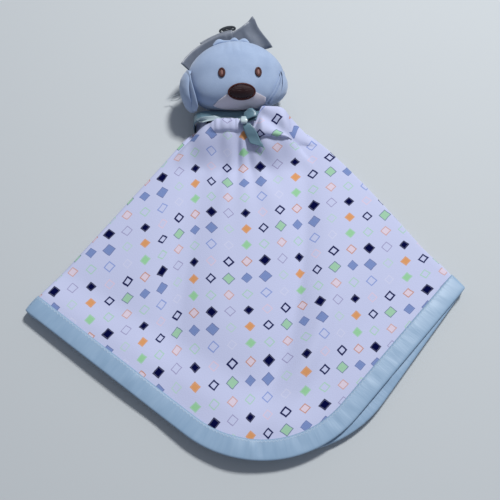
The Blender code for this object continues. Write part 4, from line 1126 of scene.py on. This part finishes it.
# %% [markdown]
# The print: small diamonds on a square lattice, six kinds in a row and three rows that repeat with a shift.
# A table gives each kind's inks, and its sizes as shares of the lattice's pitch.

# %% Kinds of diamonds
PRINT_PITCH = 10.29 * MM
PRINT_TURN = math.radians(-1.13)
PRINT_START = (-0.207, 7.069, 0.0)
# ink of the outline, ink of the middle, half width, outline width, how strong the outline is, the middle
KINDS = (
    ("#D99A66", "#D99A66", 0.30, 0.05, 1.0, 1.0),
    ("#1A2354", "#FFFFFF", 0.31, 0.085, 1.0, 0.0),
    ("#3F5F70", "#9CC9A4", 0.36, 0.04, 0.9, 0.7),
    ("#566DA6", "#6A82B8", 0.32, 0.05, 0.9, 0.6),
    ("#3F5590", "#6A82B8", 0.37, 0.04, 0.9, 0.6),
    ("#B2D3C0", "#FFFFFF", 0.30, 0.05, 0.8, 0.0),
    ("#97CC9D", "#97CC9D", 0.31, 0.05, 0.8, 1.0),
    ("#A6CFB4", "#FFFFFF", 0.31, 0.055, 0.9, 0.0),
    ("#D09A88", "#DDCCD8", 0.31, 0.05, 0.9, 0.6),
    ("#A6CFB4", "#FFFFFF", 0.31, 0.05, 0.9, 0.0),
    ("#7F94CE", "#FFFFFF", 0.33, 0.055, 0.9, 0.0),
    ("#D6D6E8", "#FFFFFF", 0.28, 0.05, 0.5, 0.0),
    ("#C68E78", "#DDCAD5", 0.31, 0.055, 1.0, 0.6),
    ("#070B3B", "#070B3B", 0.35, 0.05, 1.0, 1.0),
    ("#908AB0", "#FFFFFF", 0.32, 0.04, 0.9, 0.0),
    ("#070B3B", "#070B3B", 0.29, 0.05, 1.0, 1.0),
    ("#E2C2CE", "#FFFFFF", 0.30, 0.05, 0.7, 0.0),
    ("#171D50", "#FFFFFF", 0.33, 0.095, 1.0, 0.0),
)
print("kinds of diamonds:", len(KINDS))

# %% [markdown]
# The lattice is numbered by sums on the flat map: rounding a place gives its column and its row, and the
# remainders after six and three tell which kind stands there. Each sum is a Math node, and a list tells
# which go in.

# %% The print's lattice


def chain(finish, made, steps):
    """Adds nodes one after another. A step gives its result's name, its kind and what goes in. A kind in
    capitals is an operation of a Math node."""
    for result, kind, *inputs in steps:
        settings = {"operation": kind} if kind.isupper() else {}
        sockets = {f"i{place}": made.get(value, value) for place, value in enumerate(inputs)}
        made[result] = put(finish, "ShaderNodeMath" if settings else kind, settings, **sockets).outputs[0]


# Jersey is a fine knit of cotton, and its fibres scatter all light, so it is matt and only its colours tell.
jersey, surface = new_finish("Printed cotton jersey, knitted", Roughness=0.9, Specular_IOR_Level=0.01)
flat = put(jersey, "ShaderNodeUVMap", {"uv_map": "flat"}).outputs[0]
laid = put(
    jersey,
    "ShaderNodeMapping",
    {"vector_type": "POINT"},
    Vector=flat,
    Location=PRINT_START,
    Rotation=(0.0, 0.0, PRINT_TURN),
    Scale=(1 / PRINT_PITCH, 1 / PRINT_PITCH, 1.0),
).outputs[0]
split = put(jersey, "ShaderNodeSeparateXYZ", Vector=laid)
wobble = put(jersey, "ShaderNodeTexNoise", Vector=laid, Scale=2.5, Detail=2.0)
shake = put(jersey, "ShaderNodeSeparateColor", Color=wobble.outputs[1])
made = {"u": split.outputs[0], "up": split.outputs[1]}
made.update({"shake u": shake.outputs[0], "shake v": shake.outputs[1]})
chain(jersey, made, (
    ("v", "MULTIPLY", "up", -1.0),
    ("column", "ROUND", "u"),
    ("row", "ROUND", "v"),
    ("row middle", "ADD", "row", 0.5),
    ("thirds", "DIVIDE", "row middle", 3.0),
    ("group", "FLOOR", "thirds"),
    ("kind", "FLOORED_MODULO", "row", 3.0),
    ("shifted", "MULTIPLY_ADD", "group", 3.0, "column"),
    ("place", "FLOORED_MODULO", "shifted", 6.0),
    ("place middle", "ADD", "place", 0.5),
    ("of 18", "MULTIPLY_ADD", "kind", 6.0, "place middle"),
    ("number", "DIVIDE", "of 18", 18.0),
))
print("steps to a diamond's kind:", len(made) - 4)

# %% [markdown]
# A colour ramp without blending works as a table: a diamond's number picks its inks and its sizes. How far
# a point is from the diamond's middle, sideways and lengthways together, then tells whether it lies in the
# outline, in the middle or on bare cloth. A little noise makes the printed edges waver, and a hatch
# lightens the middles.

# %% Inks of the print
tables = []
for stops in (
    [colour(kind[0]) for kind in KINDS],
    [colour(kind[1]) for kind in KINDS],
    [kind[2:] for kind in KINDS],
):
    ramp = put(jersey, "ShaderNodeValToRGB", Fac=made["number"])
    ramp.color_ramp.interpolation = "CONSTANT"
    while len(ramp.color_ramp.elements) < len(KINDS):
        ramp.color_ramp.elements.new(0.999)
    for number, stop in enumerate(stops):
        ramp.color_ramp.elements[number].position = number / len(KINDS)
        ramp.color_ramp.elements[number].color = stop
    tables.append(ramp)
outline, middle, sizes = tables
size = put(jersey, "ShaderNodeSeparateColor", Color=sizes.outputs[0])
made.update({"half width": size.outputs[0], "line": size.outputs[1], "strength": size.outputs[2]})
made["filled"] = sizes.outputs[1]
chain(jersey, made, (
    ("off column", "SUBTRACT", "u", "column"),
    ("waver u", "SUBTRACT", "shake u", 0.5),
    ("across", "MULTIPLY_ADD", "waver u", 0.09, "off column"),
    ("off row", "SUBTRACT", "v", "row"),
    ("waver v", "SUBTRACT", "shake v", 0.5),
    ("down", "MULTIPLY_ADD", "waver v", 0.09, "off row"),
    ("across", "ABSOLUTE", "across"),
    ("down", "ABSOLUTE", "down"),
    ("reach", "ADD", "across", "down"),
    ("inside", "SUBTRACT", "half width", "reach"),
    ("in shape", "ShaderNodeMapRange", "inside", -0.02, 0.02),
    ("line", "MULTIPLY", "line", 1.4),
    ("past line", "SUBTRACT", "inside", "line"),
    ("in middle", "ShaderNodeMapRange", "past line", -0.02, 0.02),
    ("slant", "ADD", "u", "v"),
    ("slant", "MULTIPLY", "slant", 38.0),
    ("hatch", "SINE", "slant"),
    ("hatch", "ABSOLUTE", "hatch"),
    ("hatch", "MULTIPLY_ADD", "hatch", 0.7, 1.0),
    ("fill", "MULTIPLY", "filled", "hatch"),
    ("fill", "MINIMUM", "fill", 1.0),
    ("middle ink", "MULTIPLY", "in middle", "fill"),
    ("round it", "SUBTRACT", 1.0, "in middle"),
    ("border", "MULTIPLY", "in shape", "round it"),
    ("outline ink", "MULTIPLY", "border", "strength"),
))
knit = put(jersey, "ShaderNodeTexNoise", Vector=laid, Scale=14.0, Detail=3.0).outputs[0]
inks = ((made["outline ink"], outline.outputs[0]), (made["middle ink"], middle.outputs[0]))
laid_over(jersey, surface, colour("#C3C8E4"), inks, knit, 0.4 * MM, 0.25)
cloth.data.materials.clear()
cloth.data.materials.append(jersey)
print("nodes in the jersey's finish:", len(jersey.node_tree.nodes))

# %% [markdown]
# The plain fabrics. Velour is knitted with loops that are then sheared, so it has a short matt nap that
# shows in patches where it was brushed. Satin is woven with long floats on its face, so it shines in
# streaks across the threads; those streaks are painted sheen, a lighter colour laid over a darker one.
# Embroidery is rayon thread laid side by side, and the small shine on its ridges is painted in the same
# way. Nap and weave are finer than this picture can show, so they are drawn as coarse as they need to be.

# %% Velour, satin and embroidery
BRUSHED_PATCH, NAP, FLOATS, STITCH = 9 * MM, 0.7 * MM, 5 * MM, 0.6 * MM


def object_places(finish, scale=(1.0, 1.0, 1.0), turned=0.0):
    """Object coordinates, squeezed along an axis where a weave needs it."""
    places = put(finish, "ShaderNodeTexCoord").outputs["Object"]
    turned = (0.0, 0.0, turned)
    return put(finish, "ShaderNodeMapping", Vector=places, Scale=scale, Rotation=turned).outputs[0]


def velour(name, dark, light):
    """A matt nap that pales toward its edges, in patches where it was brushed."""
    finish, surface = new_finish(
        name, Roughness=0.95, Sheen_Weight=0.25, Sheen_Roughness=0.5, Specular_IOR_Level=0.15
    )
    places = object_places(finish)
    brushed = put(finish, "ShaderNodeTexNoise", Vector=places, Scale=1 / BRUSHED_PATCH, Detail=2.0)
    nap = put(finish, "ShaderNodeTexNoise", Vector=places, Scale=1 / NAP, Detail=2.0).outputs[0]
    shade = put(finish, "ShaderNodeMath", {"operation": "MULTIPLY_ADD"}, i0=nap, i1=0.45, i2=-0.22)
    shade = put(finish, "ShaderNodeMath", {"use_clamp": True}, i0=shade.outputs[0], i1=brushed.outputs[0])
    laid_over(finish, surface, colour(dark), ((shade.outputs[0], colour(light)),), nap, 0.12 * MM, 0.5)
    return finish


def satin(name, dark, light, roughness, squeeze):
    """Long floats that shine in streaks across the threads; the streaks of shine are painted sheen in the
    colour.
    """
    finish, surface = new_finish(name, Roughness=roughness, Sheen_Weight=0.1, Specular_IOR_Level=0.45)
    places = object_places(finish, squeeze)
    streaks = put(finish, "ShaderNodeTexNoise", Vector=places, Scale=1 / FLOATS, Detail=4.0).outputs[0]
    # Painted sheen: the lighter colour follows the streaks of shine.
    laid_over(finish, surface, colour(dark), ((streaks, colour(light)),), streaks, 0.35 * MM, 0.5)
    return finish


def embroidery(name, dark, light, turned=0.0):
    """Fine ridges of thread, each with its own small shine, which is painted as a lighter stripe on each
    ridge.
    """
    finish, surface = new_finish(name, Roughness=0.55, Specular_IOR_Level=0.3)
    places = object_places(finish, turned=turned)
    ridges = math.pi / 10 / STITCH
    stitches = put(finish, "ShaderNodeTexWave", Vector=places, Scale=ridges, Distortion=1.5).outputs[1]
    # Painted highlight: the lighter colour lies along each ridge of thread.
    laid_over(finish, surface, colour(dark), ((stitches, colour(light)),), stitches, 0.12 * MM, 0.6)
    return finish


print("nap drawn at, mm:", NAP / MM)

# %% The plain finishes
ALONG_RIBBON, ALONG_TAPE = (0.35, 2.2, 1.0), (1.0, 1.0, 0.3)
finishes = {
    "velour": velour("Knitted velour, light blue", "#93A6C4", "#ABBDD8"),
    "muzzle": velour("Knitted velour, pale grey pink", "#CBC6D2", "#DDD8E0"),
    "ribbon": satin("Woven satin ribbon, teal grey", "#4F6C78", "#7090A0", 0.34, ALONG_RIBBON),
    # The knot and the ribbon end on the neck wear a lighter copy of the ribbon's satin: painted glint, the
    # lamp's shine drawn into their colour.
    "glint_painted_ribbon": satin("Woven satin ribbon, teal grey, painted glint", "#8FAAB4", "#DDE9EA", 0.22, ALONG_RIBBON),
    # The tapes' mid grey is painted shade: pale satin drawn as it looks in its own shadow.
    "tape": satin("Woven satin tape, grey with painted shade", "#6A717E", "#858C99", 0.4, ALONG_TAPE),
    "nose": embroidery("Rayon embroidery, dark brown", "#1C0D0F", "#35181A", turned=0.2),
    "nose_border": embroidery("Rayon satin stitch, reddish brown", "#3A1A18", "#5A2A26", turned=1.2),
    "eye": embroidery("Rayon satin stitch, brown", "#3C201E", "#5A322E", turned=0.8),
    "eye_centre": embroidery("Rayon embroidery, light brown", "#7C5650", "#9A726A", turned=0.8),
    "dark_thread": embroidery("Spun polyester thread, dark grey", "#2E3238", "#4A4F56"),
    "pale_thread": embroidery("Spun polyester thread, pale", "#C4CFD0", "#DDE4E4"),
}
print("plain finishes:", len(finishes))

# %% [markdown]
# The binding is satin too, with the zigzag seam that holds it: a line of thread drawn at its inner edge on
# both sides, 2.4 mm a stitch. Its streaks of shine and the shade of its long soft folds are painted into
# its colour. It reads the binding's own map, whose first way runs round the hem.

# %% Satin binding with its zigzag seam
# Polyester satin has a soft shine, duller than the ribbon's, because it is pressed and puckered by its seam.
satin_blue, surface = new_finish(
    "Woven polyester satin, light blue", Roughness=0.43, Sheen_Weight=0.1, Specular_IOR_Level=0.4
)
hem_map = put(satin_blue, "ShaderNodeUVMap", {"uv_map": "flat"}).outputs[0]
squeezed = put(satin_blue, "ShaderNodeMapping", Vector=hem_map, Scale=(1.0, 0.16, 1.0)).outputs[0]
split = put(satin_blue, "ShaderNodeSeparateXYZ", Vector=hem_map)
# Painted sheen: fine streaks along the binding. Painted shade: broad waves that darken and lighten it, for
# its long soft folds.
streaks = put(satin_blue, "ShaderNodeTexNoise", Vector=squeezed, Scale=1 / (2.6 * MM), Detail=4.0)
waves = put(satin_blue, "ShaderNodeTexNoise", Vector=hem_map, Scale=1 / (26 * MM), Detail=2.0)
made = {"along": split.outputs[0], "across": split.outputs[1]}
made.update({"streaks": streaks.outputs[0], "waves": waves.outputs[0]})
chain(satin_blue, made, (
    ("from far edge", "SUBTRACT", across_run[-1], "across"),
    ("from edge", "MINIMUM", "across", "from far edge"),
    ("zigzag", "PINGPONG", "along", 1.2 * MM),
    ("seam line", "ADD", "zigzag", 0.5 * MM),
    ("off seam", "SUBTRACT", "from edge", "seam line"),
    ("off seam", "ABSOLUTE", "off seam"),
    ("thread", "ShaderNodeMapRange", "off seam", 0.32 * MM, 0.14 * MM),
    ("half waves", "MULTIPLY", "waves", 0.5),
    ("shade", "MULTIPLY_ADD", "streaks", 0.5, "half waves"),
    ("height", "MULTIPLY_ADD", "thread", 0.5, "streaks"),
))
# The shade mask lays the painted sheen and painted fold shade as a lighter blue; the thread mask is the
# seam's own thread.
threads = ((made["shade"], colour("#A3BCD4")), (made["thread"], colour("#A9BED3")))
laid_over(satin_blue, surface, colour("#7C9DBB"), threads, made["height"], 0.3 * MM, 0.5)
binding.data.materials.append(satin_blue)
print("width of the binding's section, mm:", round(across_run[-1] / MM, 1))

# %% [markdown]
# Each piece gets its finish. The stuffing inside the head keeps its solid and is plain fibre.

# %% Which piece wears which finish
wear = {
    "velour": ["neck_stub", "face_panel", "back_panel", "crown_tucks", "ear_outer_left", "ear_inner_left"]
    + ["ear_outer_right", "ear_inner_right"],
    "ribbon": ["neck_ribbon", "bow_loop", "bow_end_right"],
    # Knot and left ribbon end: the ribbon satin with painted glint.
    "glint_painted_ribbon": ["bow_knot", "bow_end_left"],
    "muzzle": ["muzzle_panel"],
    "nose": ["nose"],
    "nose_border": ["nose_edge"],
    "eye": ["eye_rim_left", "eye_rim_right"],
    "eye_centre": ["eye_left", "eye_right"],
    "tape": ["long_tape", "short_tape", "right_tape"],
    "dark_thread": ["dark_thread"],
    "pale_thread": ["thread_end_upper", "thread_end_lower"],
}
for key, names in wear.items():
    for name in names:
        pieces[name].data.materials.clear()
        pieces[name].data.materials.append(finishes[key])
fibre, _ = new_finish("Polyester fibre filling", Base_Color=colour("#F2F2EE"), Roughness=0.95)
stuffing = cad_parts["head_stuffing"]
stuffing.data.materials.clear()
stuffing.data.materials.append(fibre)
print("pieces with a finish:", sum(map(len, wear.values())))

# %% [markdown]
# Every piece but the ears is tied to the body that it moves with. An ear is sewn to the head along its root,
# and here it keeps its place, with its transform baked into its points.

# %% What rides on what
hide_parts("blanket_cloth")
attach(cloth, "blanket")
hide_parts("blanket_binding")
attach(binding, "blanket")
riders = {
    "blanket": ["neck_stub", "neck_ribbon", "bow_knot", "bow_loop"],
    "head": ["face_panel", "back_panel", "muzzle_panel", "nose", "nose_edge", "eye_rim_left", "eye_rim_right"]
    + ["eye_left", "eye_right", "crown_tucks", "thread_end_upper", "thread_end_lower"],
    "tape_left": ["long_tape", "short_tape", "dark_thread"],
    "tape_right": ["right_tape"],
    "ribbon_end_right": ["bow_end_right"],
    "ribbon_end_left": ["bow_end_left"],
}
for body, names in riders.items():
    for name in names:
        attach(pieces[name], body)
for word in ("left", "right"):
    for ply in ("outer", "inner"):
        ear = pieces[f"ear_{ply}_{word}"]
        root = NECK[1] + points_of(ear)[:, 1].max()
        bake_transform(ear)
print("cloth's flat area, m2:", round(BLANKET_SIDE**2 - (4 - math.pi) * CORNER_RADIUS**2, 4))

# %% Size
visual_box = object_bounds()
print("size, mm:", [round((high - low) / MM, 1) for low, high in zip(*visual_box)])
